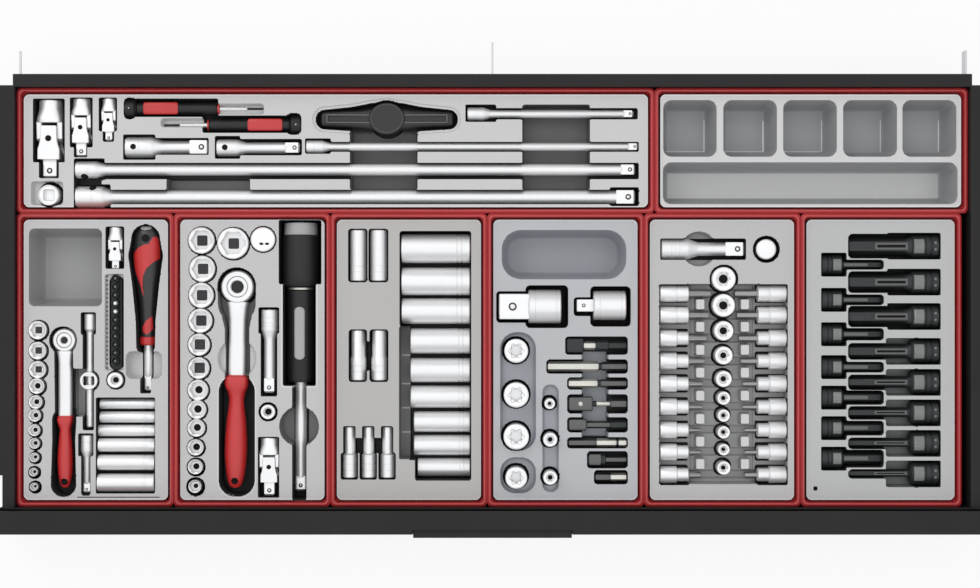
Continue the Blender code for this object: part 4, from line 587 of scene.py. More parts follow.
def joint_drive(piece, where, length, radius, square):
    """Yoke with the square end; its arms stand above and below the cross."""
    pivot = PIVOT_SHARE * (length - square)
    end = length - square * 1.25
    thick_share = 0.16
    arm = [(pivot + radius * near, radius * half, "square", thick_share / half)
           for near, half in ((-0.94, 0.54), (-0.86, 0.60), (0.1, 0.63), (0.45, 0.70), (0.8, 0.82))]
    arm.append((end - 0.0004, radius * 0.82, "square", thick_share / 0.82))
    for side in (-1, 1):
        piece.add(tube(arm, 32, (0, side * radius * 0.775)), where, CHROME)
    cross = slab(pivot - radius * 0.46, pivot + radius * 0.46, radius * 0.48, radius * 0.66)
    piece.add(cross, where, BORE)
    pin = tube([(-radius * 0.6, radius * 0.22), (radius * 0.6, radius * 0.22)], 20)
    piece.add(pin, where @ along(pivot) @ Matrix.Rotation(np.pi / 2, 4, "Y"), BRIGHT)
    shoulder = [(pivot + radius * 0.68, radius * 0.58, "square", 1.45),
                (pivot + radius * 0.78, radius * 0.66, "soft", 1.35),
                (pivot + radius * 1.12, radius * 0.80, "soft", 1.10),
                (end - 0.0012, radius * 0.84, "soft"), (end, radius * 0.78, "soft")]
    piece.add(tube(shoulder, 36), where, CHROME)
    square_end(piece, where, end, length, square)
    stud(piece, where, pivot, radius * 0.945, radius * 0.23, HOLE)


# Turned handles

def screwdriver(piece, where):
    """Slim driver: round cap, black body with a red window on top, collar, shaft and dark tip."""
    cap = [(0, 0.0060), (0.0006, 0.0082), (0.0022, 0.0094), (0.0095, 0.0094), (0.0112, 0.0080),
           (0.0122, 0.0060)]
    body = [(0.0118, 0.0050), (0.0124, 0.0061), (0.030, 0.0063, "ribbed"),
            (0.066, 0.0063, "ribbed"), (0.0835, 0.0062), (0.0850, 0.0052)]
    window = [(0.0182, 0.0046, "soft", 0.30), (0.0196, 0.0056, "soft", 0.34),
              (0.0480, 0.0056, "soft", 0.34), (0.0494, 0.0046, "soft", 0.30)]
    collar = [(0.0845, 0.0030), (0.0850, 0.0052), (0.0862, 0.0052), (0.0868, 0.0030)]
    shaft = [(0.0860, 0.0024), (0.1110, 0.0022), (0.1118, 0.0015)]
    tip = [(0.1112, 0.0013), (0.1262, 0.0011), (0.1268, 0.0006)]
    piece.add(tube(cap), where, BLACK_GRIP)
    # Small pale dome on the black cap: a painted highlight
    stud(piece, where, 0.0055, 0.0093, 0.0007, PALE_STEEL, 0.0003)
    piece.add(tube(body, 36), where, BLACK_GRIP)
    piece.add(tube(window, 32, (0, 0.0050)), where, RED_GRIP)
    piece.add(tube(collar), where, RED_GRIP)
    piece.add(tube(shaft, 24), where, CHROME)
    piece.add(tube(tip, 16), where, BLACK_STEEL)


def tee_handle(piece, where):
    """Black cross handle: two ribbed arms and an oval boss with a plain raised rim."""
    arm = [(0.004, 0.0100, "soft", 0.80), (0.016, 0.0098, "soft", 0.78),
           (0.024, 0.0086, "soft", 0.80), (0.056, 0.0074, "soft", 0.84),
           (0.0590, 0.0068, "soft", 0.80), (0.0604, 0.0050, "soft", 0.7)]
    rib = [(0.012, 0.0008, "soft"), (0.020, 0.0010, "soft"), (0.0535, 0.0009, "soft"),
           (0.0550, 0.0004, "soft")]
    for turn in (0, np.pi):
        arm_frame = where @ Matrix.Rotation(turn, 4, "Y")
        piece.add(tube(arm, 36), arm_frame, BLACK_ARM)
        for side in (-0.0034, 0.0034):
            piece.add(tube(rib, 12, (side, 0.0070)), arm_frame, BIT_STEEL)
        piece.add(slab(0.0535, 0.0550, 0.0040, 0.0008, 0.0002, (0, 0.0068)), arm_frame, BIT_STEEL)
    level = where @ Matrix.Rotation(np.pi / 2, 4, "Y") @ UPRIGHT
    for wide, low, high, look in ((0.0162, -0.009, 0.0098, BLACK_ARM),
                                  (0.0150, 0.009, 0.0106, BIT_STEEL),
                                  (0.0141, 0.009, 0.0110, BLACK_ARM)):
        oval = [(low, wide - 0.0008, "round", 0.88), (low + 0.0003, wide, "round", 0.88),
                (high - 0.0006, wide, "round", 0.88), (high, wide - 0.0006, "round", 0.88)]
        piece.add(tube(oval, 48), level, look)


def ratchet_body(piece, where, head, run, grip, shank, grip_start, hang, grip_shares):
    """Ratchet: ring head on a flat shank, and a red grip with a hang hole.

    The grip's shares are the place along it and the width there.
    """
    half = head * 0.425
    inner = head * 0.62 + 0.0003
    ring = [(-half, inner), (-half, head - 0.0010), (-half + 0.0010, head),
            (half - 0.0012, head), (half, head - 0.0012), (half, inner + 0.0004),
            (half - 0.0004, inner), (-half, inner)]
    points, faces = tube(ring, 48)
    piece.add((points, faces[1:-1]), where @ UPRIGHT, CHROME)
    flat = half * 0.86 / shank
    neck = [(head * 0.93, shank * 1.25, "soft", flat * 0.8), (head * 1.25, shank * 1.10, "soft", flat),
            (head * 1.9, shank * 0.98, "soft", flat * 0.96),
            (grip_start - 0.002, shank, "soft", flat), (grip_start + 0.002, shank * 0.9, "soft", flat)]
    piece.add(tube(neck, 40), where, CHROME)
    outline = [(grip_start + (run - grip_start) * share, grip * wide,
                "soft" if index < 3 else "round", 0.84)
               for index, (share, wide) in enumerate(grip_shares)]
    hole_frame = along(run - hang) @ UPRIGHT
    cutter = tube([(-0.03, 0.0032), (0.03, 0.0032)], 24)
    piece.add(carved(tube(outline, 48), [(cutter, hole_frame)]), where, RED_GRIP)
    piece.add(tube([(-grip * 0.6, 0.0031), (grip * 0.30, 0.0031)], 24), where @ hole_frame, HOLE)
    collar = [(grip_start - 0.0016, shank * 1.02, "soft", flat * 1.02),
              (grip_start - 0.0012, shank * 1.16, "soft", flat * 1.1),
              (grip_start + 0.0004, shank * 1.16, "soft", flat * 1.1)]
    piece.add(tube(collar, 40), where, RED_GRIP)


def ratchet_drive(piece, where, head, square, button):
    """Turning centre of a ratchet: plate with a black push button, and the square below."""
    half = head * 0.425
    hub = head * 0.62
    side = square / 2
    plate = [(-half, hub - 0.0006), (-half + 0.0006, hub), (half - 0.0008, hub),
             (half - 0.0002, hub - 0.0006), (half - 0.0002, button + 0.0006),
             (half - 0.0010, button + 0.0002)]
    cap = [(half - 0.0030, button), (half - 0.0006, button), (half + 0.0001, button * 0.8),
           (half - 0.0001, button * 0.3)]
    drive = [(half - 0.001, side, "square"), (half + square * 1.15, side, "square"),
             (half + square * 1.25, side - 0.0007, "square")]
    piece.add(tube(plate, 48), where @ UPRIGHT, CHROME)
    piece.add(tube(cap), where @ UPRIGHT, BLACK_GRIP)
    piece.add(tube(drive), where @ DOWNRIGHT, BRIGHT)


def carved(shape, cuts, operation="DIFFERENCE"):
    """A shape with others cut out of it, or what it shares with them."""
    items = [linked("carved", new_mesh("carved", *solid))
             for solid in [shape] + [cutter for cutter, _ in cuts]]
    for item, (_, frame_of_cut) in zip(items[1:], cuts):
        item.matrix_world = frame_of_cut
        step = items[0].modifiers.new("cut", "BOOLEAN")
        step.operation = operation
        step.solver = "EXACT"
        step.object = item
    result = worked_out(items[0])
    for item in items:
        bpy.data.objects.remove(item)
    points = np.array([vertex.co for vertex in result.vertices])
    return points, [tuple(face.vertices) for face in result.polygons]


def inlaid(shape, where, letter, outline):
    """The part of a shape that lies inside an outline given in pixels of the photograph."""
    ring = np.array([spot(letter, x, y) for x, y in outline])
    after = np.roll(ring, -1, 0)
    if np.sum(ring[:, 0] * after[:, 1] - after[:, 0] * ring[:, 1]) < 0:
        ring = ring[::-1]
    count = len(ring)
    middle = where.translation.z
    points = np.concatenate([np.column_stack((ring, np.full(count, level)))
                             for level in (middle + 0.001, middle + 0.03)])
    faces = [tuple(range(count))[::-1], tuple(range(count, 2 * count))]
    faces += [(a, (a + 1) % count, (a + 1) % count + count, a + count) for a in range(count)]
    return carved(shape, [((points, faces), where.inverted())], "INTERSECT")


# Inserts: a moulded sheet over a grid, its rows and columns drawn to the pockets' outlines

def outline_distance(mark, x, y):
    """Distance in pixels from a pocket's outline, below zero inside it."""
    kind = mark[0]
    if kind == "disc":
        return np.hypot(x - mark[1], y - mark[2]) - mark[3]
    if kind == "chain":
        found = None
        for (ax, ay, ar), (bx, by, br) in zip(mark[1][:-1], mark[1][1:]):
            run = np.hypot(bx - ax, by - ay)
            share = np.clip(((x - ax) * (bx - ax) + (y - ay) * (by - ay)) / run ** 2, 0, 1)
            far = np.hypot(x - ax - share * (bx - ax), y - ay - share * (by - ay))
            here = far - (ar + share * (br - ar))
            found = here if found is None else np.minimum(found, here)
        return found
    x0, y0, x1, y1, corner = mark[1:6]
    dx = np.abs(x - (x0 + x1) / 2) - (x1 - x0) / 2 + corner
    dy = np.abs(y - (y0 + y1) / 2) - (y1 - y0) / 2 + corner
    return np.hypot(np.maximum(dx, 0), np.maximum(dy, 0)) + np.minimum(np.maximum(dx, dy), 0) - corner


def box_mark(x0, y0, x1, y1, depth, corner=2.0, draft=0.7, tone=2):
    """Box pocket, by default in tone 2, painted near-black as shade. A plain tuple of these values, in
    a list of marks, stands for one.
    """
    return ("box", x0, y0, x1, y1, min(corner, (x1 - x0) / 2, (y1 - y0) / 2)), depth, draft, tone


def disc_mark(x, y, radius, depth, draft=0.7, tone=2):
    """Round pocket, by default in tone 2, painted near-black as shade."""
    return ("disc", x, y, radius), depth, draft, tone


def chain_mark(stops, depth, draft=0.7, tone=2):
    """Pocket that runs through discs of (x, y, radius), by default in tone 2, painted near-black as
    shade.
    """
    return ("chain", stops), depth, draft, tone


def post_mark(x0, y0, x1, y1, level):
    """Post left standing in the pockets marked before it, its top painted lighter in tone 3 as a
    highlight.
    """
    return ("box", x0, y0, x1, y1, 1.0), -1.0 - level, 0.8, 3


def tint_mark(outline, near, far, tone=3):
    """Band of another tone that follows an outline, from near to far pixels outside it: by default
    tone 3, a painted highlight; tone 0 takes painted shade back to the plain plastic, tone 2 paints a
    dark shadow line.
    """
    return outline, 0, (near, far), tone


def line_mark(x0, y0, x1, y1, tone):
    """Thin straight band of another tone: a painted highlight or a painted shadow line."""
    return tint_mark(("box", x0, y0, x1, y1, 0.0), -9.0, 0.0, tone)


# In pixels: the groove round an insert, how far its corners pull the grid, and the grid's own steps
EDGE_GAP = 0.8
PULL_REACH = 24.0
PITCH = 0.86
WIDE_PITCH = 0.92
# Heights and corner in metres, and what tray h reaches beyond the solids' right edge
CORNER = 0.0055
GROOVE = 0.0026
BEAD = 0.00025
WIDER = {"h": Vector((0.0036, 0, 0))}


def bent_grid(x0, y0, x1, y1, corner, pitch):
    """Grid over an insert, drawn in at its sides to follow the round corners."""
    bend = corner * (1 - np.cos(np.linspace(0, np.pi / 2, 10)))
    middle = np.linspace(y0 + corner, y1 - corner, int((y1 - y0 - 2 * corner) / pitch) + 1)
    rows = np.concatenate((y0 + bend, middle[1:-1], y1 - bend[::-1]))
    columns = np.linspace(x0 + EDGE_GAP, x1 - EDGE_GAP, int((x1 - x0) / pitch) - 2)
    columns = np.concatenate(((x0, x0 + EDGE_GAP / 2), columns, (x1 - EDGE_GAP / 2, x1)))
    x, y = np.meshgrid(columns, rows)
    near = corner - np.minimum(np.minimum(y - y0, y1 - y), corner)
    pull = corner - np.sqrt(np.maximum(corner ** 2 - near ** 2, 0))
    for side, edge in ((1, x0), (-1, x1)):
        share = np.clip(1 - side * (x - edge) / PULL_REACH, 0, 1)
        x = x + side * pull * share
    return x, y


def drawn_to_outlines(x, y, rim, marks, pitch):
    """The grid with its points moved onto the outlines that pass near them."""
    contours = [(rim, (EDGE_GAP,))]
    for outline, depth, draft, _ in marks:
        if depth == 0:
            contours.append((outline, (-draft[0], -draft[1])))
        else:
            contours.append((outline, (0, draft) if draft > 1.5 else (0,)))
    closest = np.full(x.shape, 0.5 * pitch)
    shift_x = np.zeros(x.shape)
    shift_y = np.zeros(x.shape)
    step = 0.01
    for outline, levels in contours:
        here = outline_distance(outline, x, y)
        slope_x = (outline_distance(outline, x + step, y) - here) / step
        slope_y = (outline_distance(outline, x, y + step) - here) / step
        for level in levels:
            gap = here + level
            better = np.abs(gap) < closest
            closest = np.where(better, np.abs(gap), closest)
            shift_x = np.where(better, -gap * slope_x, shift_x)
            shift_y = np.where(better, -gap * slope_y, shift_y)
    inner = outline_distance(rim, x, y) < -0.6
    return x + shift_x * inner, y + shift_y * inner


def well_depth(marks, x, y):
    """Depth in mm and tone at places given in pixels."""
    depth_mm = np.zeros(x.shape)
    tones = np.zeros(x.shape, int)
    for outline, depth, draft, tone in marks:
        if depth == 0:
            continue
        gap = outline_distance(outline, x, y)
        if depth < 0:
            level = -1.0 - depth
            outside = np.clip((gap - 0.05) / draft, 0, 1)
            lifted = level + (depth_mm - level) * outside
            tones = np.where((gap < draft * 0.5) & (depth_mm > level), tone, tones)
            depth_mm = np.where(depth_mm > level, lifted, depth_mm)
            continue
        share = np.clip((-gap - 0.03) / draft, 0, 1)
        if draft > 1.5:
            share = share * (2 - share)
        here = depth * share
        tones = np.where(here > depth_mm, tone, tones)
        depth_mm = np.maximum(depth_mm, here)
    return depth_mm, tones


def cell_tones(x, y, quads, depth_mm, corner_tones, rim, marks):
    """Tone of each cell: 0 the insert, 1 a well in painted shade, 2 a pocket painted near-black as
    shade, 3 a lip or band painted lighter as highlight.
    """
    middle_x = (x[:-1, :-1] + x[1:, 1:]) / 2
    middle_y = (y[:-1, :-1] + y[1:, 1:]) / 2
    depths = np.stack([depth_mm.ravel()[quads[:, corner]] for corner in range(4)])
    tones = np.stack([corner_tones.ravel()[quads[:, corner]] for corner in range(4)])
    deep_mm = depths.max(0).reshape(middle_x.shape)
    tones = tones[depths.argmax(0), np.arange(len(quads))].reshape(middle_x.shape)
    tones = np.where(deep_mm > 0.4, tones, 0)
    for outline, depth, draft, tone in marks:
        if depth == 0:
            gap = outline_distance(outline, middle_x, middle_y)
            tones = np.where((gap > draft[0]) & (gap < draft[1]), tone, tones)
    edge = -outline_distance(rim, middle_x, middle_y)
    # A painted highlight band along the insert's rim, and the groove round the insert painted
    # near-black as shade
    tones = np.where((edge < EDGE_GAP + 1.3) & (deep_mm < 0.4), 3, tones)
    return np.where(edge < EDGE_GAP - 0.05, 2, tones).ravel().tolist()


def mould(letter, marks, pitch=PITCH):
    """Insert of a tray: marks are (outline, depth in mm, draft in pixels, tone).

    A depth of 0 stands for a band of another tone, one of -1 - level for a post up to that level.
    """
    marks = [mark if isinstance(mark[0], tuple) else box_mark(*mark) for mark in marks]
    left, top, right, bottom = WINDOWS_PX[letter]
    tray_low, tray_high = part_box("tray_" + letter)
    low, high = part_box("insert_" + letter)
    high = high + WIDER.get(letter, Vector())
    wide = (right - left) / (tray_high.x - tray_low.x)
    deep = (bottom - top) / (tray_high.y - tray_low.y)
    x0, x1 = (left + (v - tray_low.x) * wide for v in (low.x, high.x))
    y0, y1 = (bottom - (v - tray_low.y) * deep for v in (high.y, low.y))
    rim = ("box", x0, y0, x1, y1, CORNER * wide)
    x, y = bent_grid(*rim[1:], pitch)
    x, y = drawn_to_outlines(x, y, rim, marks, pitch)
    depth_mm, corner_tones = well_depth(marks, x, y)
    edge = -outline_distance(rim, x, y)
    sunk = np.clip((EDGE_GAP - 0.03 - edge) / 0.4, 0, 1)
    bead = np.clip(1 - np.abs(edge - EDGE_GAP - 0.7) / 0.8, 0, 1)
    z = INSERT_TOP - depth_mm * MM - GROOVE * sunk + BEAD * bead
    world_x = tray_low.x + (x - left) / wide
    world_y = tray_low.y + (bottom - y) / deep
    points = np.stack((world_x, world_y, z), -1).reshape(-1, 3)
    index = np.arange(x.size).reshape(x.shape)
    quads = np.stack((index[:-1, :-1], index[1:, :-1], index[1:, 1:], index[:-1, 1:]), -1)
    quads = quads.reshape(-1, 4)
    tones = cell_tones(x, y, quads, depth_mm, corner_tones, rim, marks)
    ring = np.concatenate((index[:-1, 0], index[-1, :-1], index[:0:-1, -1], index[0, :0:-1]))
    foot = points[ring].copy()
    foot[:, 2] = INSERT_BASE
    after = np.roll(np.arange(len(ring)), -1)
    lower = len(points) + np.arange(len(ring))
    skirt = np.stack((ring, lower, lower[after], ring[after]), -1)
    faces = quads.tolist() + skirt.tolist() + [lower[::-1].tolist()]
    name = "insert_" + letter + "_moulding"
    mesh = new_mesh(name, np.concatenate((points, foot)), faces,
                    (INSERT_LOOKS[letter], WELL_SHADE_LOOKS[letter], POCKET_SHADE, LIP_HIGHLIGHT_LOOKS[letter]))
    mesh.polygons.foreach_set("material_index", tones + [0] * (len(faces) - len(quads)))
    settle(name, mesh, "tray_body_" + letter, ["insert_" + letter], 40)


# Trays

def rounded_loop(low, high, corner, level):
    """Points of a round-cornered rectangle, counter-clockwise from above."""
    steps = 6
    points = []
    for index, (cx, cy) in enumerate(((high.x - corner, high.y - corner),
                                      (low.x + corner, high.y - corner),
                                      (low.x + corner, low.y + corner),
                                      (high.x - corner, low.y + corner))):
        for step in range(steps + 1):
            angle = (index + step / steps) * np.pi / 2
            points.append((cx + corner * np.cos(angle), cy + corner * np.sin(angle), level))
    return points


def shell(low, high, rings):
    """Open box from (inset, height, corner) rings: up the outside and down the inside."""
    points = []
    for inset, level, corner in rings:
        margin = Vector((inset, inset, 0))
        points += rounded_loop(low + margin, high - margin, corner, level)
    count = len(points) // len(rings)
    faces = [tuple(range(count))[::-1]]
    for row in range(len(rings) - 1):
        start = row * count
        for a in range(count):
            b = (a + 1) % count
            faces.append((start + a, start + b, start + count + b, start + count + a))
    faces.append(tuple(range((len(rings) - 1) * count, len(rings) * count)))
    return np.array(points), faces


def make_tray(letter):
    """Red open box with a flat rim, the rim's rounded shoulder painted paler as a highlight."""
    low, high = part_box("tray_" + letter)
    high = high + WIDER.get(letter, Vector())
    top = high.z
    rings = [(0.0012, low.z, 0.0030), (0.0004, low.z + 0.0006, 0.0036),
             (0.0002, low.z + 0.002, 0.0038), (0.0002, top - 0.0036, 0.0038),
             (-0.00022, top - 0.0032, 0.0040), (-0.00022, top - 0.0011, 0.0040),
             (0.0002, top - 0.0008, 0.0038), (0.0010, top - 0.0006, 0.0036),
             (0.0014, top - 0.0004, 0.0034), (0.0017, top, 0.0034), (0.0023, top, 0.0034),
             (0.0029, top - 0.0010, 0.0038), (0.0034, top - 0.0024, 0.0042),
             (0.0036, top - 0.0064, 0.0044), (0.0042, top - 0.0070, 0.0048),
             (0.0043, low.z + 0.0022, 0.0048)]
    shape = shell(low, high, rings)
    around = (len(shape[1]) - 2) // (len(rings) - 1)
    piece = Piece("tray_" + letter + "_box")
    piece.add(shape, Matrix(), RED, RED_EDGE_HIGHLIGHT, range(1 + 8 * around, 1 + 11 * around))
    piece.done("tray_body_" + letter, ["tray_" + letter])


# Sockets that stand up or lie in rows

UNIT = 0.01


def unit_tube(rings, sides, length=1):
    """Pattern tube: radii are shares of UNIT, distances shares of a length."""
    return tube([(ring[0] * length, ring[1] * UNIT, *ring[2:]) for ring in rings], sides)


def stood_row(piece, shape, letter, places, level, look, inner_faces=(), inner_look=None):
    """A pattern of one UNIT radius, stood at each (x, y, radius) in pixels."""
    frames = [standing_seat(spot(letter, x, y), level) for x, y, *_ in places]
    sizes = [(radius * PX / UNIT, radius * PX / UNIT, 1) for _, _, radius, *_ in places]
    laid_row(piece, shape, frames, sizes, look, inner_faces, inner_look)


def standing_row(piece, letter, places, level, height, kind, bore, recess, square=0.005):
    """Standing sockets at (x, y, radius, half width of the dark drive hole) in pixels."""
    sides = 36
    rings = [(recess, bore, kind), (0.0008, bore, kind), (0.0001, bore + 0.06), (0, bore + 0.09),
             (0, 0.92), (0.0005, 0.98), (0.0010, 1.0), (height * 0.55, 1.0), (height * 0.56, 0.96),
             (height * 0.97, 0.96), (height, 0.90)]
    # The first ring of faces, inside the mouth, in the darker chrome as painted shade
    stood_row(piece, unit_tube(rings, sides), letter, places, level, BRIGHT, range(1 + sides), RECESS_SHADE)
    for name, wanted in (("square", True), ("round", False)):
        found = [(x, y, dark) for x, y, _, dark in places
                 if (dark * PX >= square * 0.9) == wanted]
        if found:
            hole = tube([(recess - 0.0001, UNIT * 0.92, name), (recess + 0.001, UNIT, name)], 24)
            stood_row(piece, hole, letter, found, level, BORE if wanted else HOLE)


def deep_row(piece, letter, boxes, heading, foot, bands, step=None):
    """Lying deep sockets, each filling a pixel box: mouth at the head, ring lines at the foot."""
    sides = 32
    length = 0.05
    rings = [(0.12, 0.6, "hex"), (0.004, 0.6, "hex"), (0, 0.72), (0, 0.93), (0.012, 1.0)]
    if step:
        rings[2:] = [(0, 0.6, "hex"), (0, step - 0.04), (0.012, step), (0.52, step), (0.55, 1.0)]
    for band in bands:
        rings += [(band, 1.0), (band + 0.004, 0.965), (band + 0.014, 0.965), (band + 0.018, 1.0)]
    rings += [(0.985, 1.0), (1.0, 0.93)]
    frames, sizes = [], []
    for x0, y0, x1, y1 in boxes:
        if heading == RIGHT:
            wide, long, head = y1 - y0, x1 - x0, (x0, (y0 + y1) / 2)
        else:
            wide, long, head = x1 - x0, y1 - y0, ((x0 + x1) / 2, y0)
        radius = wide / 2 * PX
        frames.append(seat(spot(letter, *head), heading, foot + radius))
        sizes.append((radius / UNIT, radius / UNIT, long * PX / length))
    laid_row(piece, unit_tube(rings, sides, length), frames, sizes, CHROME, range(1 + sides), BORE)


# Tray a

TEE_STOPS = ((325.5, 119, 10), (352, 118.5, 12.2), (372, 118, 15.5), (387, 118, 17.5),
             (402, 118, 15.5), (422, 118.5, 12.2), (448.5, 119, 10))
marks = [
    (32, 98, 64, 162, 22), (38, 150, 58, 178, 19),
    (69, 97, 92, 147, 17), (73, 140, 86.5, 157, 15),
    (98, 97, 116.5, 131, 12), (102, 126, 113.5, 141.5, 11),
    (30, 181, 62.5, 205, 7, 4, 2, 0), disc_mark(48.5, 194.3, 12.9, 24),
    (123, 97, 135.5, 119, 17, 6), (128, 98, 218, 116.5, 15),
    (215, 103, 264, 114, 8, 4, 1.4, 0),
    (160, 117.5, 208, 127, 8, 4, 1.4, 0), (202, 115, 292, 132.5, 15),
    (286, 112.5, 301.5, 134.5, 17, 6),
    (122.5, 134, 155, 159.5, 19), (150, 137.5, 208.5, 154.5, 18),
    (214.5, 135.5, 240, 158.5, 15), (236, 138.5, 302, 155, 13),
    chain_mark([(x, y, radius + 3) for x, y, radius in TEE_STOPS], 1.4, 0.7, 0),
    chain_mark(TEE_STOPS, 17), disc_mark(387, 118, 18.5, 22),
    (466, 104, 497, 121.5, 12), (490, 108, 639, 119, 10),
    (305, 138, 331, 153.5, 12), (325, 141.5, 640, 151.5, 10),
    (73, 158, 104, 180, 16), (98, 162.5, 640, 179, 15), (73, 172, 101, 192, 16, 3),
    (73, 184, 110, 208.5, 20), (100, 189.5, 640, 204, 19),
    (611, 187, 640, 206, 19),
    (350, 129, 418, 190, 20, 3, 2.2, 1), (523, 104, 591, 190, 20, 3, 2.2, 1),
    (166, 178, 250, 192, 16, 3, 1.6, 1),
]
mould("a", marks, WIDE_PITCH)

where = lying("a", 47.4, 99, FRONT, HALF_JOINT[1])
piece = Piece("half_joint_yoke")
joint_socket(piece, where, *HALF_JOINT, 0.89)
piece.done("tray_body_a", ["half_joint_socket"])
piece = Piece("half_joint_square")
joint_drive(piece, where, *HALF_JOINT)
piece.done("joint_drive", ["half_joint_drive"])
for node, x, sizes in (("three_eighths_joint", 79.5, THREE_EIGHTHS_JOINT),
                       ("quarter_joint", 107.5, QUARTER_JOINT)):
    piece = Piece(node + "_yokes")
    universal_joint(piece, lying("a", x, 98, FRONT, sizes[1]), sizes)
    piece.done("tray_body_a", [node])

DRIVER_RADIUS = 0.0095
for side, x, y, heading in (("left", 122, 107.5, RIGHT), ("right", 302, 124, LEFT)):
    piece = Piece("driver_with_window_" + side)
    screwdriver(piece, lying("a", x, y, heading, DRIVER_RADIUS))
    piece.done("tray_body_a", ["screwdriver_" + side])

for node, x, y, length, sizes, bands in (
        ("short_bar_half", 124, 146.3, 0.075, HALF, (0.4, 0.5)),
        ("short_bar_three_eighths", 216, 147, 0.075, THREE_EIGHTHS, (0.45,)),
        ("middle_bar", 468, 113, 0.150, QUARTER, (0.45, 0.6)),
        ("long_bar", 306, 146, 0.300, QUARTER, (0.45,)),
        ("longest_bar_upper", 74, 169, 0.506, THREE_EIGHTHS, (0.6,))):
    piece = Piece(node + "_turned")
    bar(piece, lying("a", x, y, RIGHT, sizes[1]), length, *sizes, bands,
        hole=0.0026 if node.startswith("short") else 0)
    piece.done("tray_body_a", [node])

piece = Piece("longest_bar_lower_turned")
bar(piece, lying("a", 74, 196.5, RIGHT, HALF[1]), 0.506, *HALF, (0.6,))
adaptor = [(0.006, 0.0047, "square"), (0.0012, 0.0047, "square"), (0.0006, 0.0052, "square"),
           (0.0006, 0.0080), (0, 0.0084), (0, 0.0090), (0.0006, 0.0094), (0.020, 0.0094)]
piece.add(tube(adaptor, 36),
          standing_seat(spot("a", 48.2, 195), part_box("longest_bar_lower")[1].z), BRIGHT)
for x, y, tilt, radius in ((83.2, 169, 1.0, THREE_EIGHTHS[1]), (91.2, 196.5, -1.0, HALF[1])):
    stud(piece, lying("a", x, y, RIGHT, radius) @ Matrix.Rotation(tilt, 4, "Z"), 0, radius, 0.0034,
         HOLE)
piece.done("tray_body_a", ["longest_bar_lower"])

piece = Piece("cross_handle")
tee_handle(piece, lying("a", 387, 118, RIGHT, 0.011))
piece.done("tray_body_a", ["tee_handle"])

# Tray b

marks = [(x, 99.6, x + wide, 156.5, 35, 9, 8, 1)
         for x, wide in ((665.8, 53.5), (726, 53.7), (786, 53.7), (846, 54), (905.4, 54))]
# Pale lines at the cells' floor edges: painted highlights
marks += [line_mark(x, 116, x + 0.9, 148, 3) for x in (711.2, 771.4, 831.6, 891.8, 951.4)]
marks += [line_mark(x, 147.6, x + 38, 148.2, 3) for x in (673, 733, 793)]
# The long well in painted shade, its floor taken back to the plain plastic
marks += [(665.4, 162, 960.6, 204, 35, 9, 8, 1),
          tint_mark(("box", 674, 170.5, 951.5, 196, 0.0), -30, 0, 0)]
mould("b", marks, WIDE_PITCH)

# Tray c

STANDS_C = [(38.5, 329.5, 9.4, 3.7), (38.4, 350, 9, 3.6), (38.4, 369, 8.8, 3.5), (37.5, 385.5, 8, 3.1),
            (36.5, 401.5, 7, 2.8), (35.6, 415, 6.4, 2.6), (35.2, 429.7, 6.1, 2.4),
            (35.3, 443, 5.5, 2.2), (35.2, 457, 4.9, 1.9), (34.4, 471.8, 4.4, 1.7),
            (35, 486.5, 4.2, 1.5)]
DEEP_C = [(99.5, 398.5, 155.3, 409.2), (99.5, 411.5, 155.3, 423), (98, 425, 155.3, 436.7),
          (98, 438.5, 155.3, 452.2), (98, 455, 155.3, 470.6), (98, 474, 155.3, 492)]
marks = [
    (29.4, 227.5, 103, 305.6, 33, 6, 9, 1),
    (106.5, 225.5, 125.5, 268, 14), (105.8, 273, 125, 370, 4, 3, 0.8, 0),
    (109.5, 275, 124.8, 369.5, 18.5, 7),
    chain_mark(((147, 238, 14.5), (147, 255, 17.5), (147, 285, 13.5), (147, 320, 10), (147, 345, 9.5)),
               27, 1.0),
    (141.5, 340, 152.5, 393, 18), (127, 350.5, 163.5, 378.5, 12, 7, 3.0, 0),
    disc_mark(63.8, 339.7, 14, 21), chain_mark(((64.3, 345, 9.5), (65.2, 417, 9.5)), 17),
    chain_mark(((65, 420, 12.3), (64.5, 440, 11.6), (64.3, 484, 12.8)), 20),
    (72, 368, 84, 416.5, 24, 2, 0.7, 1),
    (81.5, 311.5, 97, 334, 14), (83.5, 318, 95, 430, 13),
    disc_mark(89.4, 380.3, 11.3, 20), disc_mark(117, 379.5, 9.7, 20),
    (79, 433, 94.5, 456, 13), (82, 450, 91.5, 495, 11),
]
marks += [disc_mark(x + 0.9, y + 0.4, max(radius + 1.4, 6.6), 24) for x, y, radius, _ in STANDS_C]
# A thin dark line near the insert's front edge: painted shadow
marks += [(96.8, 397, 156.6, 493.4, 16), line_mark(78, 496.6, 161, 497.6, 2)]
mould("c", marks)

HEAD_C = 0.0108
where = lying("c", 63.8, 339.7, FRONT, 0.0093)
piece = Piece("quarter_ratchet_with_grip")
ratchet_body(piece, where, head=HEAD_C, run=0.1335, grip=0.0070, shank=0.0060, grip_start=0.0700,
             hang=0.0052, grip_shares=(
                 (0.0, 0.96), (0.04, 1.02), (0.10, 0.86), (0.17, 0.72), (0.30, 0.82), (0.45, 0.95),
                 (0.65, 1.0), (0.80, 0.92), (0.90, 0.78), (0.97, 0.58), (1.0, 0.36)))
piece.done("tray_body_c", ["quarter_ratchet"])
piece = Piece("quarter_ratchet_centre")
ratchet_drive(piece, where, head=HEAD_C, square=0.0063, button=0.0030)
piece.done("quarter_drive", ["quarter_ratchet_drive"])

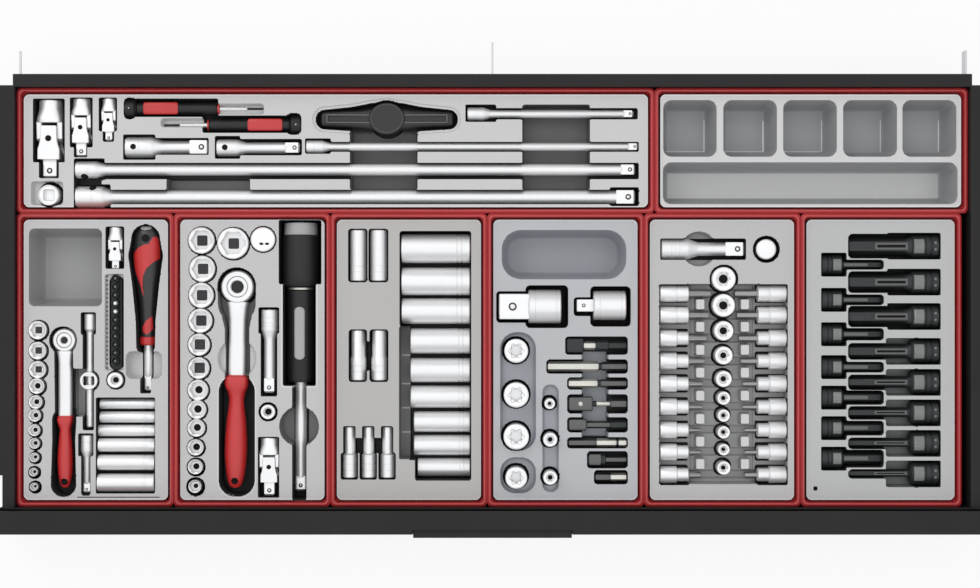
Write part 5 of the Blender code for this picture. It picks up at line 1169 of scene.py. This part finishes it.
SLIDER_RADIUS = 0.0079
BAR_RINGS = [(0, 0.0044), (0.0008, 0.0052), (0.0140, 0.0052), (0.0162, 0.0036), (0.0166, 0.0033),
             (0.1020, 0.0033), (0.1030, 0.0025)]
SLIDER_RINGS = [(-0.0062, 0.0076), (-0.0056, 0.0082), (0.0054, 0.0082), (0.0062, 0.0076),
                (0.0062, 0.0058), (0.0054, 0.0054)]
SLIDER_SQUARE = [(0.006, 0.00315, "square"), (0.0134, 0.00315, "square"), (0.0140, 0.0025, "square")]
where = lying("c", 89.4, 313, FRONT, SLIDER_RADIUS)
piece = Piece("sliding_bar")
piece.add(tube(BAR_RINGS), where, CHROME)
piece.done("tray_body_c", ["tee_bar"])
piece = Piece("sliding_bar_slider")
where = where @ along(spot("c", 0, 313)[1] - spot("c", 0, 380.3)[1])
through = tube([(-0.02, 0.0036), (0.02, 0.0036)], 24)
gap = slab(-0.004, 0.004, 0.0038, 0.012)
ring = carved(tube(SLIDER_RINGS, 40), [(through, DOWNRIGHT), (gap, DOWNRIGHT @ along(0, 0.0082))])
piece.add(ring, where @ UPRIGHT, CHROME)
piece.add(tube(SLIDER_SQUARE), where @ DOWNRIGHT, BRIGHT)
for side in (-1, 1):
    piece.add(slab(-0.0042, 0.0042, 0.0006, 0.0020, 0.0002, (side * 0.0041, 0.0044)), where, HOLE)
piece.done("slider", ["tee_bar_slider"])

SPINNER_LEAF = ((153.9, 236.3), (157.3, 235.4), (159.4, 238.6), (160.6, 246.9), (160.4, 257.5),
                (153.3, 262.2), (147.4, 268.1), (144.2, 275.2), (143.2, 285.8), (144.6, 296.5),
                (142.7, 291.7), (139.8, 281.1), (135.9, 271.7), (133.7, 262.2), (133.5, 252.8),
                (139.2, 246.9), (145.1, 243.9), (150.4, 243.0))
SPINNER_DROP = ((152.2, 315.5), (153.0, 328.3), (147.4, 334.2), (142.9, 331.9), (142.3, 326.6),
                (146.3, 320.1))
# Pale oval at the grip's top end, let in as grey plastic: a painted reflection of the end cap
SPINNER_CAP_REFLECTION = ((140.6, 227.2), (142.8, 225.4), (146.8, 224.9), (150.8, 225.4), (153.0, 227.2),
               (150.8, 228.4), (146.8, 228.9), (142.8, 228.4))
SPINNER_GRIP = [(0, 0.0075), (0.0006, 0.0100), (0.0030, 0.0124), (0.0080, 0.0136), (0.0180, 0.0143),
                (0.0270, 0.0142), (0.0420, 0.0132), (0.0560, 0.0108), (0.0700, 0.0090),
                (0.0840, 0.0080), (0.0960, 0.0076), (0.1010, 0.0074)]
SPINNER_COLLAR = [(0.1008, 0.0076), (0.1014, 0.0082), (0.1070, 0.0080), (0.1084, 0.0064)]
SPINNER_SHAFT = [(0.107, 0.0039), (0.1360, 0.0039), (0.1370, 0.0034)]
where = lying("c", 147, 224.5, FRONT, 0.0144)
piece = Piece("spinner_grip")
piece.add(tube(SPINNER_GRIP, 48), where, GLOSS_GRIP)
cover = tube([(distance, radius + 0.00012) for distance, radius in SPINNER_GRIP], 48)
for patch, look in ((SPINNER_LEAF, RED_GRIP), (SPINNER_DROP, RED_GRIP), (SPINNER_CAP_REFLECTION, GREY_PLASTIC)):
    piece.add(inlaid(cover, where, "c", patch), where, look)
stud(piece, where, 0.0115, 0.01405, 0.0036, HOLE)
piece.add(tube(SPINNER_COLLAR, 36), where, RED_GRIP)
piece.add(tube(SPINNER_SHAFT, 28), where, CHROME)
square_end(piece, where, 0.137, 0.150, 0.0063)
piece.done("tray_body_c", ["spinner_handle"])

piece = Piece("sockets_standing_c")
standing_row(piece, "c", STANDS_C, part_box("quarter_sockets")[1].z, 0.0255, "hex", bore=0.76,
             recess=0.005, square=0.0032)
piece.done("tray_body_c", ["quarter_sockets"])

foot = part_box("quarter_deep_sockets")[0].z
piece = Piece("deep_sockets_c")
deep_row(piece, "c", DEEP_C, RIGHT, foot, (0.80, 0.84))
bar(piece, seat(spot("c", 86.5, 435), FRONT, foot + QUARTER[1]), 0.0522, *QUARTER, (0.4,))
piece.done("tray_body_c", ["quarter_deep_sockets"])

RACK_HALF = 0.006
RACK_ENDS = (0.0030, 0.0840)
RACK_TICK = 0.00395
RACK_BITS = [277.6 + number * 8.3 for number in range(11)]
BIT_HOLDER = [(0.004, 0.0072), (0.0004, 0.0074), (0, 0.0082), (0, 0.0094), (0.0006, 0.01),
              (0.012, 0.01)]
BIT_NOSE = [(-0.0002, 0.006, "star"), (0.0006, 0.01, "star"), (0.009, 0.01, "star")]
piece = Piece("bit_rack_with_bits")
rack = seat((spot("c", 115.8, 0)[0], spot("c", 0, 272)[1]), FRONT, INSERT_TOP - 2 * RACK_HALF)
piece.add(slab(0.0024, 0.0845, 0.0058, RACK_HALF, 0.0006), rack, BLACK_GRIP)
for far in RACK_ENDS:
    piece.add(tube([(-RACK_HALF, 0.0058), (0.0056, 0.0058), (RACK_HALF, 0.0054)]),
              rack @ along(far) @ UPRIGHT, BLACK_GRIP)
for number in range(22):
    near = 0.002 + number * RACK_TICK
    piece.add(slab(near, near + 0.0018, 0.0006, 0.0004, 0.0001, (-0.0076, 0.0081)), rack, BLACK_STEEL)
for shape, radius, drop, rows, look in (
        (BIT_HOLDER, 3.9, 0.0004, RACK_BITS, BLACK_STEEL),
        (BIT_NOSE, 2.5, 0.0002, RACK_BITS[:3] + RACK_BITS[5:], BIT_STEEL),
        (BIT_NOSE, 2.5, 0.0002, RACK_BITS[3:5], BRIGHT)):
    places = [(116.2, y, radius) for y in rows]
    stood_row(piece, tube(shape, 24), "c", places, INSERT_TOP - drop, look)
universal_joint(piece, lying("c", 116, 226.5, FRONT, QUARTER_JOINT[1]), QUARTER_JOINT)
standing_row(piece, "c", [(116.6, 379.5, 8, 3.2)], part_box("bit_rack")[1].z, 0.02, "round", bore=0.52,
             recess=0.004)
piece.done("tray_body_c", ["bit_rack"])

# Tray d

STANDS_D = [(201.2, 239.5, 13.4, 5.7), (202, 268, 13.2, 5.7), (201, 294.5, 12.8, 5.7),
            (200.2, 320, 12.3, 5.7), (198.8, 344, 11.2, 5.7), (198.5, 367.5, 11, 5.7),
            (197.8, 389.5, 10.5, 4.1), (196.8, 409, 9.6, 4.1), (196.2, 427.5, 9, 3.9),
            (195.4, 447, 8.3, 3.8), (195.2, 466.5, 7.7, 3.4), (194.8, 486.2, 6.7, 2.6),
            (233, 242.5, 15.8, 5.8)]
marks = [disc_mark(x + 0.6, y + 0.3, max(radius + 1.2, 9.6), 24) for x, y, radius, _ in STANDS_D]
marks += [
    disc_mark(263.3, 238.5, 13.6, 24), disc_mark(236.6, 286, 19.5, 25),
    chain_mark(((236.6, 286, 19.5), (236.8, 303, 19), (236.8, 315, 15), (237, 328, 12.4),
                (237, 380, 12.4)), 17, 1.6, 1), disc_mark(237.6, 286.4, 17.8, 24),
    (218.5, 374.5, 255, 496.5, 24, 17, 1.0), disc_mark(237, 358, 19.5, 6, 2.0, 0),
    # Pale bands round the grip pockets: painted highlights
    tint_mark(("box", 218.5, 374.5, 255, 496.5, 17), 0.0, 1.3),
    (258.5, 306.5, 279.5, 333, 17), (260.8, 326, 277.5, 396, 14),
    disc_mark(268.3, 411.4, 9.7, 20), (258, 436.5, 279.5, 497.5, 19),
    (279, 219, 322, 283.5, 36), (283, 281, 316.5, 385.5, 31),
    tint_mark(("box", 283, 275, 316.5, 385.5, 2), 0.0, 1.8),
    (292.5, 380, 307, 500, 24), disc_mark(299.5, 426, 20, 20, 2.0, 1),
]
mould("d", marks)

HEAD_D = 0.0149
where = lying("d", 236.6, 286, Vector((-0.0145, -1, 0)).normalized(), 0.0112)
piece = Piece("three_eighths_ratchet_with_grip")
ratchet_body(piece, where, head=HEAD_D, run=0.1825, grip=0.0103, shank=0.0076, grip_start=0.0815,
             hang=0.0066, grip_shares=(
                 (0.0, 0.96), (0.03, 1.06), (0.08, 1.02), (0.14, 0.80), (0.19, 0.66), (0.25, 0.68),
                 (0.40, 0.87), (0.55, 0.98), (0.68, 1.0), (0.80, 0.92), (0.90, 0.78), (0.96, 0.62),
                 (0.99, 0.44), (1.0, 0.28)))
piece.done("tray_body_d", ["three_eighths_ratchet"])
piece = Piece("three_eighths_ratchet_centre")
ratchet_drive(piece, where, head=HEAD_D, square=0.0095, button=0.0056)
piece.done("three_eighths_drive", ["three_eighths_ratchet_drive"])

KNOB_WINDOW = [(0, 0.0140), (0.0008, 0.0152), (0.0112, 0.0158), (0.0118, 0.0150)]
KNOB_GRIP = [(0.0114, 0.0160), (0.0122, 0.0178), (0.0240, 0.0180), (0.0500, 0.0180),
             (0.0560, 0.0176), (0.0583, 0.0160)]
TORQUE_COLLAR = [(0, 0.0120), (0.0006, 0.0126), (0.0022, 0.0126), (0.0026, 0.0120)]
TORQUE_GRIP = [(0.0024, 0.0124), (0.0034, 0.0134), (0.0830, 0.0134), (0.0862, 0.0124)]
TORQUE_WINDOW = [(0.0180, 0.0016, "soft", 0.9), (0.0190, 0.0036, "soft", 0.5),
                 (0.0212, 0.0048, "soft", 0.36), (0.0625, 0.0048, "soft", 0.36),
                 (0.0646, 0.0036, "soft", 0.5), (0.0656, 0.0016, "soft", 0.9)]
where = lying("d", 299.5, 221, FRONT, 0.018)
piece = Piece("torque_setting_knob")
piece.add(tube(KNOB_WINDOW, 48), where, GREY_PLASTIC)
piece.add(tube(KNOB_GRIP, 48), where, BLACK_GRIP)
piece.done("knob", ["torque_knob"])
where = where @ along(0.0588)
piece = Piece("torque_handle_grip")
piece.add(tube(TORQUE_COLLAR, 40), where, PALE_STEEL)
piece.add(tube(TORQUE_GRIP, 48), where, BLACK_GRIP)
piece.add(tube(TORQUE_WINDOW, 32, (0, 0.0122)), where, GREY_PLASTIC)
piece.add(tube([(0.085, 0.0053), (0.1732, 0.0053)]), where, CHROME)
square_end(piece, where, 0.1730, 0.1850, 0.0095)
piece.done("tray_body_d", ["torque_handle"])

CAP_RINGS = [(0.0004, 0.0012), (0, 0.0075), (0, 0.0102), (0.0007, 0.0111), (0.024, 0.0111)]
CAP_EYE = [(-0.00004, 0.0019, "round", 0.6), (0.001, 0.0019, "round", 0.6)]
stand_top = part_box("three_eighths_sockets")[1].z
piece = Piece("sockets_standing_d")
standing_row(piece, "d", STANDS_D, stand_top, 0.0255, "hex", bore=0.80, recess=0.0065, square=0.0048)
cap = standing_seat(spot("d", 263.3, 238.5), stand_top)
piece.add(tube(CAP_RINGS, 40), cap, BRIGHT)
for side in (-1, 1):
    piece.add(tube(CAP_EYE, 16), cap @ Matrix.Translation((side * 0.0026 - 0.0012, -0.0040, 0)), HOLE)
piece.done("tray_body_d", ["three_eighths_sockets"])

piece = Piece("short_bar_d_turned")
bar(piece, lying("d", 269, 309, FRONT, THREE_EIGHTHS[1]), 0.075, *THREE_EIGHTHS, (0.35, 0.6, 0.75))
universal_joint(piece, lying("d", 269, 438, FRONT, THREE_EIGHTHS_JOINT[1]), THREE_EIGHTHS_JOINT)
standing_row(piece, "d", [(268.3, 411.4, 7.4, 3.6)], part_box("short_bar_d")[1].z, 0.02, "round",
             bore=0.56, recess=0.004)
piece.done("tray_body_d", ["short_bar_d"])

# Tray e

DEEP_E_LEFT = [(349.5, 229, 366.5, 280), (370, 229, 387.5, 280), (350, 330, 366, 380),
               (371, 330, 387.5, 380), (342, 427, 357, 478), (361, 427, 376, 478),
               (380, 427, 395, 478)]
DEEP_E_RIGHT = [(401.5, 232.5, 471, 262), (401.5, 266.5, 471, 294.5), (401.5, 297.5, 471, 323.5),
                (410.7, 328, 471, 353.5), (410.7, 358, 471, 382.5), (410.7, 386, 471, 408.5),
                (414, 412, 471, 433), (414, 436, 471, 456.5), (417.6, 459.5, 471, 478)]
marks = [(x0 - 1.3, y0 - 1.3, x1 + 1.3, y1 + 1.5, 18, 3.5)
         for x0, y0, x1, y1 in DEEP_E_LEFT[:4]]
for x0, y0, x1, y1 in DEEP_E_LEFT[4:]:
    marks += [(x0 + 1.2, y0 - 1.3, x1 - 1.2, y1, 18, 2.5),
              (x0 - 1.3, y0 + 25.5, x1 + 1.3, y1 + 1.5, 18, 2.5)]
marks += [(400, 230, 472.3, 326, 24, 3), (410, 322, 472.3, 460, 24),
          (415.5, 457, 472.3, 480.5, 24, 3), (399.5, 326, 412, 459, 20, 1.5, 0.8, 1),
          (365, 341, 372, 370, 15), (355, 437.5, 363, 453, 15),
          (374, 437.5, 382, 453, 15)]
# Thin bands of the plain plastic across the well painted in shade: painted light on the walls between
# pockets
marks += [tint_mark(("box", 401.2, y, 409.6, y + 1.3, 0.0), -9, 0, 0)
          for y in (354.6, 383.6, 408.2, 432.8)]
mould("e", marks)
WIDEST_LEFT_PX = 17.5
WIDEST_RIGHT_PX = 29.5
foot = TOOL_TOP - WIDEST_LEFT_PX * PX
piece = Piece("deep_sockets_e_left")
deep_row(piece, "e", DEEP_E_LEFT[:2], FRONT, foot, (0.70, 0.82))
deep_row(piece, "e", DEEP_E_LEFT[2:4], FRONT, foot, (0.70, 0.82), step=0.90)
deep_row(piece, "e", DEEP_E_LEFT[4:], FRONT, foot, (0.72, 0.84), step=0.73)
piece.done("tray_body_e", ["deep_sockets_left"])
foot = TOOL_TOP - WIDEST_RIGHT_PX * PX
piece = Piece("deep_sockets_e_right")
deep_row(piece, "e", DEEP_E_RIGHT, RIGHT, foot, (0.80, 0.87))
piece.done("tray_body_e", ["deep_sockets_right"])

# Tray f

STARS_F = [(514, 350, 11.8), (514, 394, 12.4), (514, 435.6, 12.6), (514, 476.6, 10.8)]
SMALL_F = [(547.5, 402.6, 5.4), (548, 438.4, 7.2), (548, 476.3, 7.2)]
BITS_F = [(565, 337, 625, 353), (546, 360, 625, 372), (567, 378, 625, 388), (567, 395, 625, 412),
          (567, 418, 625, 431), (567, 438, 625, 447), (587, 452, 625, 467), (594, 471, 625, 483)]
marks = [
    (499.5, 229, 625, 278.5, 33, 20, 8, 1),
    (494, 290.5, 530, 322, 24, 4), (523.5, 284.5, 566.5, 327.4, 30, 5),
    (572, 296.5, 593, 315.4, 20, 4), (588.7, 285.5, 629.5, 326, 28, 5),
    (498, 331.5, 534, 450.5, 7, 17, 3, 1), (498, 457, 534, 493, 7, 15, 3, 1),
    (540.5, 384, 557, 492, 5, 8, 3, 1), (580, 350, 607, 438, 14, 2, 1.5, 1),
]
marks += [disc_mark(x, y, radius + 2.5, 22) for x, y, radius in STARS_F + SMALL_F]
marks += [(x0 - 1.6, y0 - 1.2, x1 + 1.6, y1 + 1.2, 14, 4) for x0, y0, x1, y1 in BITS_F]
mould("f", marks)

STAR_SOCKET = [(0.012, 0.0042), (0.0030, 0.0046), (0.0024, 0.0066, "star"), (0.0004, 0.0070, "star"),
               (0, 0.0082), (0, 0.0090), (0.0006, 0.0100), (0.020, 0.0100)]
# Lying adaptors: body box, left end of the square, and its upper and lower edge
ADAPTORS_F = ((526.5, 289, 559, 322.6, 497, 293.5, 319.5), (592, 290, 624.5, 319.5, 575, 300.5, 313))
stand_foot, stand_top = (corner.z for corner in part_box("torx_sockets"))
piece = Piece("star_sockets_and_adaptors")
stood_row(piece, tube(STAR_SOCKET, 48), "f", STARS_F, stand_top, BRIGHT)
standing_row(piece, "f", [(x, y, radius, radius * 0.36) for x, y, radius in SMALL_F], stand_top, 0.021,
             "star", bore=0.52, recess=0.004)
for x0, y0, x1, y1, square_x, square_y0, square_y1 in ADAPTORS_F:
    radius = (y1 - y0) / 2 * PX
    square = (square_y1 - square_y0) * PX
    length = (x1 - square_x) * PX
    body_length = (x1 - x0) * PX
    where = seat(spot("f", x1, (y0 + y1) / 2), LEFT, stand_foot + radius)
    rings = square_mouth(radius * 0.95) + [(0, radius - 0.0008), (0.0008, radius)]
    rings += grooves((body_length * 0.12, body_length * 0.78), radius, 0.0009)
    rings += [(body_length - 0.0008, radius), (body_length, radius - 0.0010)]
    piece.add(tube(rings, 40), where, CHROME)
    piece.add(slab(body_length - 0.001, length, square / 2, square / 2, 0.0008), where, BRIGHT)
    middle = (body_length + length) / 2 + 0.001
    stud(piece, where, middle, square / 2, square * 0.16, BORE)
    stud(piece, where, middle, square / 2 + 0.0001, square * 0.11, BRIGHT, 0.0012)
piece.done("tray_body_f", ["torx_sockets"])

piece = Piece("bits_lying_f")
BIT_RADIUS_F = 0.0042
# Parts of each lying bit from its tip on: near and far end and half width in pixels
BIT_PLANS = (
    ((0, 17, 7.6, "soft", BLACK_STEEL), (17, 29, 4.4, "hex", PALE_STEEL),
     (29, 42, 6.2, "hex", BLACK_STEEL), (42, 60, 4.6, "hex", BLACK_STEEL)),
    ((0, 51, 5.2, "hex", PALE_STEEL), (51, 54, 3.8, "round", BLACK_STEEL),
     (54, 79, 4.6, "hex", BIT_STEEL)),
    ((0, 29, 4.8, "hex", PALE_STEEL), (29, 32, 3.6, "round", BLACK_STEEL),
     (32, 58, 4.2, "hex", BIT_STEEL)),
    ((0, 24, 7.4, "soft", BIT_STEEL), (24, 28, 3.0, "round", BLACK_STEEL),
     (28, 42, 2.6, "round", PALE_STEEL), (42, 58, 5.6, "hex", BIT_STEEL)),
    ((0, 18, 6.0, "soft", BIT_STEEL), (18, 42, 3.8, "hex", BIT_STEEL),
     (42, 58, 4.8, "hex", BLACK_STEEL)),
    ((0, 28, 4.3, "hex", BIT_STEEL), (28, 48, 4.2, "hex", PALE_STEEL),
     (48, 50, 3.4, "round", BLACK_STEEL), (50, 58, 4.3, "hex", PALE_STEEL)),
    ((0, 13, 6.2, "soft", BIT_STEEL), (13, 17, 7.0, "hex", BLACK_STEEL),
     (17, 38, 3.6, "hex", BIT_STEEL)),
    ((0, 15, 4.8, "hex", BIT_STEEL), (15, 31, 4.2, "hex", PALE_STEEL)),
)
for (x0, y0, x1, y1), plan in zip(BITS_F, BIT_PLANS):
    where = lying("f", x0, (y0 + y1) / 2, RIGHT, BIT_RADIUS_F)
    for near, far, half, kind, look in plan:
        flat = min(1.0, 4.4 / half)
        radius = half * PX
        near, far = near * PX, far * PX
        piece.add(tube([(near, radius * 0.85, kind, flat), (near + 0.0008, radius, kind, flat),
                        (far - 0.0008, radius, kind, flat), (far, radius * 0.85, kind, flat)],
                       24), where, look)
where = lying("f", 567, 403.5, RIGHT, BIT_RADIUS_F)
stud(piece, where, 12 * PX, 0.0039, 0.0022, PALE_STEEL, 0.0008)
piece.done("tray_body_f", ["bits_f"])

# Tray g

ROWS_G = (292.8, 314.5, 337.8, 360.8, 383.6, 406.9, 430.2, 452.5, 475.2)
CENTRE_G = [(278.2, 12.2), (304.7, 11.6), (330.2, 10), (354.9, 9.2), (378.4, 8.3), (397.7, 6.8),
            (415.1, 6.4), (431.9, 6.4), (449.2, 6.0), (467.6, 7.0)]
centre_g = [(723.3, y, radius) for y, radius in CENTRE_G]
marks = [
    (659.5, 237.5, 746, 259, 19), disc_mark(698.5, 248, 17.5, 12, 1.2, 1),
    disc_mark(766.4, 248.4, 13.6, 20), (686, 283, 760, 484, 12, 3, 1.4, 1),
]
for row in ROWS_G:
    marks += [(658.5, row - 9.4, 689, row + 9.4, 17),
              (757, row - 9.4, 788, row + 9.4, 17),
              (688, row - 4.6, 758, row + 4.6, 15, 2, 0.8, 1)]
marks += [(658.5, 284, 692, 484, 13, 2, 0.8, 1), (754, 284, 788, 484, 13, 2, 0.8, 1)]
marks += [disc_mark(x + 0.4, y, radius + 2.3, 20) for x, y, radius in centre_g]
# Posts between the rows, their tops painted lighter as highlights
marks += [post_mark(x, (first + second) / 2 - 4.8, x + 8, (first + second) / 2 + 4.8, 0.6)
          for first, second in zip(ROWS_G, ROWS_G[1:]) for x in (696, 741)]
mould("g", marks)

LYING_RADIUS_G = 8.6 * PX
# Bits of the lying sockets, from the top row down: half thickness and length in pixels
BITS_G = ((4.2, 24), (4.0, 22), (3.7, 20), (3.3, 18), (2.9, 16), (2.5, 16), (2.2, 14), (2.4, 14),
          (3.2, 14))
level = TOOL_TOP - LYING_RADIUS_G
piece = Piece("bit_sockets_g")
for collar, rows in ((0.98, ROWS_G[:2]), (0.80, ROWS_G[2:])):
    rings = [(0.0120, 0.60, "square"), (0.0006, 0.60, "square"), (0, 0.72), (0, 0.95), (0.0006, 1.0),
             (0.0146, 1.0), (0.0152, 0.94), (0.0156, collar * 0.97), (0.0162, collar),
             (0.0252, collar), (0.0262, 0.60)]
    frames = [seat(spot("g", x, row), heading, level)
              for row in rows for x, heading in ((659.8, RIGHT), (786.8, LEFT))]
    sides = 28
    sizes = [(LYING_RADIUS_G / UNIT, LYING_RADIUS_G / UNIT, 1)] * len(frames)
    laid_row(piece, unit_tube(rings, sides), frames, sizes, CHROME, range(1 + sides), BORE)
for row, (half, reach) in zip(ROWS_G, BITS_G):
    thick = half * PX
    for x, heading, kind in ((687.5, RIGHT, "star"), (759, LEFT, "hex")):
        nose = [(-0.001, thick, kind), (reach * PX - 0.0006, thick * 0.9, kind),
                (reach * PX, thick * 0.6, kind)]
        piece.add(tube(nose, 24), seat(spot("g", x, row), heading, level), MID_STEEL)
standing_row(piece, "g", [(x, y, radius, radius * (0.40 if radius > 9.5 else 0.36))
                          for x, y, radius in centre_g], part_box("bit_sockets")[1].z,
             0.0165, "star", bore=0.56, recess=0.004)
piece.done("tray_body_g", ["bit_sockets"])

piece = Piece("short_bar_g_turned")
bar(piece, lying("g", 661, 248, RIGHT, HALF[1]), 0.075, *HALF, (0.35, 0.5, 0.65))
cap = [(0, 0.0078), (0.0003, 0.0085), (0.0010, 0.0091), (0.016, 0.0091)]
piece.add(tube(cap, 40), standing_seat(spot("g", 766, 248.4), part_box("short_bar_g")[1].z), BRIGHT)
piece.done("tray_body_g", ["short_bar_g"])

# Tray h

# Rows on the right: place, half height of the pocket and of the bit
ROWS_H_RIGHT = ((245.2, 12.4, 9.5), (281.3, 10.9, 9.0), (315.8, 10.7, 8.5), (350.8, 8.4, 7.5),
                (381.9, 7.8, 6.0), (412.5, 6.8, 5.0), (443.1, 5.9, 4.5), (473.7, 4.8, 4.0))
ROWS_H_LEFT = ((263.8, 5.0, 4.5), (299.1, 5.4, 4.8), (333.6, 6.2, 5.0), (366.6, 5.4, 5.3),
               (397.2, 7.2, 5.6), (427.8, 7.4, 5.8), (458.4, 9.0, 6.0))
marks = []
for number, (row, half, _) in enumerate(ROWS_H_RIGHT):
    narrow = number > 2
    marks += [(848, row - half, 892, row + half, 19, 5, 0.8),
              (916 if narrow else 888, row - 13.4, 942.5, row + 13.4, 20, 2, 0.8)]
    if narrow:
        marks.append((886.5, row - 13.4, 920, row + 13.4, 16, 3, 0.8, 1))
for row, half, _ in ROWS_H_LEFT:
    marks += [(820.5, row - 12, 846.5, row + 12, 20, 2, 0.8),
              (842, row - half, 884.5, row + half, 18, 4, 0.8)]
marks.append(disc_mark(814.7, 488.4, 2.2, 5))
mould("h", marks)

HEAD_RADIUS_H = 10.4 * PX
OVAL_H = 1.15  # width of the right heads over their height
HEAD_H = [(0.016, 0.62, "square"), (0.0006, 0.62, "square"), (0, 0.72), (0, 0.94), (0.0008, 1.0),
          (0.0060, 1.0), (0.0064, 0.93), (0.0074, 0.93), (0.0078, 1.0), (0.0110, 1.0), (0.0114, 0.95),
          (0.0122, 0.95), (0.0126, 1.0), (0.0236, 1.0), (0.0252, 0.84)]
scale = HEAD_RADIUS_H / UNIT
level = TOOL_TOP - HEAD_RADIUS_H
right_heads = [seat(spot("h", 941, row), LEFT, level) for row, _, _ in ROWS_H_RIGHT]
left_heads = [seat(spot("h", 821.5, row), RIGHT, level) for row, _, _ in ROWS_H_LEFT]
piece = Piece("impact_bits_h")
laid_row(piece, unit_tube(HEAD_H, 32), right_heads + left_heads,
         [(scale * OVAL_H, scale, 1)] * len(right_heads) + [(scale, scale, 0.76)] * len(left_heads),
         BLACK_STEEL, range(1 + 32), BORE)
for (row, _, half), head in zip(ROWS_H_RIGHT, right_heads):
    where = seat(spot("h", 914, row), LEFT, level)
    wide = half * PX
    flat = min(1.0, 0.0080 / wide)
    bit = [(-0.001, 0.0092, "round", 0.95), (0.003, wide * 0.95, "soft", flat),
           (0.008, wide, "hex", flat), (0.0560, wide * 0.96, "hex", flat),
           (0.0572, wide * 0.85, "hex", flat)]
    rise = wide * flat * 0.84
    piece.add(tube(bit, 24), where, BLACK_STEEL)
    piece.add(slab(0.004, 0.034, wide * 0.38, 0.0008, 0.0003, (0, rise)), where, BIT_STEEL)
    piece.add(slab(0.006, 0.032, wide * 0.16, 0.0008, 0.0003, (0, rise + 0.0001)), where, HOLE)
    oval_head = head @ Matrix.Diagonal((OVAL_H, 1, 1, 1))
    piece.add(panel_on_round(0.0136, 0.0226, HEAD_RADIUS_H, 0.62), oval_head, ETCHED)
    for side in (-0.28, 0.28):
        stud(piece, oval_head @ Matrix.Rotation(side, 4, "Z"), 0.0034, HEAD_RADIUS_H, 0.0010, ETCHED)
for (row, _, half), head in zip(ROWS_H_LEFT, left_heads):
    where = seat(spot("h", 840, row), RIGHT, level)
    wide = half * PX
    bit = [(-0.001, 0.0080, "round", 0.95), (0.003, wide * 0.9, "soft"), (0.006, wide, "hex"),
           (0.0380, wide * 0.96, "hex"), (0.0390, wide * 0.85, "hex")]
    piece.add(tube(bit, 24), where, BLACK_STEEL)
    piece.add(slab(0.004, 0.026, wide * 0.35, 0.0006, 0.0002, (0, wide * 0.9)), where, BIT_STEEL)
    piece.add(panel_on_round(0.0100, 0.0172, HEAD_RADIUS_H, 0.55), head, ETCHED)
piece.done("tray_body_h", ["impact_bit_sockets"])

for letter in WINDOWS_PX:
    make_tray(letter)


# The drawer's own sheet metal keeps its solids and gets its finishes

def dress(look, *nodes):
    for node in nodes:
        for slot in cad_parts[node].material_slots:
            slot.material = look


dress(CHARCOAL, "drawer_pan", "drawer_front", "drawer_pull")
dress(ZINC, "lock_catch", *(member + side for member in ("cabinet_member_", "middle_member_",
                                                         "drawer_member_")
                            for side in ("left", "right")))

# Studio

PALE = 0.86
floor_look = bpy.data.materials.new("studio_floor")
floor_look.use_nodes = True
tree = floor_look.node_tree
nodes = Nodes(tree)
shader = tree.nodes["Principled BSDF"]
nodes.feed((PALE, PALE, PALE), shader.inputs["Base Color"])
nodes.feed(0.9, shader.inputs["Roughness"])
white = nodes.make("ShaderNodeEmission", {"Color": (1, 1, 1)})
rays = nodes.make("ShaderNodeLightPath").outputs
mirrored = nodes.maths("MAXIMUM", rays["Is Glossy Ray"], rays["Is Transmission Ray"])
seen = nodes.maths("MULTIPLY", nodes.maths("MAXIMUM", rays["Is Camera Ray"], mirrored), PALE)
mix = nodes.make("ShaderNodeMixShader", {0: seen, 1: shader.outputs[0], 2: white.outputs[0]})
nodes.join(mix.outputs[0], tree.nodes["Material Output"].inputs["Surface"])

corners = [(-4, -4, -0.0002), (4, -4, -0.0002), (4, 4, -0.0002), (-4, 4, -0.0002)]
linked("studio_floor", new_mesh("studio_floor", corners, [(0, 1, 2, 3)], [floor_look]))


def panel(name, place, target, size, power):
    lamp = bpy.data.lights.new(name, "AREA")
    lamp.shape = "RECTANGLE"
    lamp.size, lamp.size_y = size
    lamp.energy = power
    item = linked(name, lamp)
    item.location = place
    item.rotation_euler = (Vector(target) - Vector(place)).to_track_quat("-Z", "Y").to_euler()


panel("overhead_panel", (0.0, 0.15, 2.4), (0, 0, 0), (4.4, 3.8), 34)
panel("back_left_panel", (-1.3, 1.5, 1.7), (0, 0, 0), (1.4, 1.4), 9)
world = bpy.data.worlds.new("studio")
world.use_nodes = True
world.node_tree.nodes["Background"].inputs["Color"].default_value = (0.86, 0.87, 0.89, 1)
world.node_tree.nodes["Background"].inputs["Strength"].default_value = 0.74
bpy.context.scene.world = world

lens = bpy.data.cameras.new("camera")
lens.lens = 61.2
lens.sensor_width = 36
camera = linked("camera", lens)
camera.location = (-0.0022, 0.0029, 1.552)
bpy.context.scene.camera = camera
bpy.context.scene.view_settings.view_transform = "Standard"
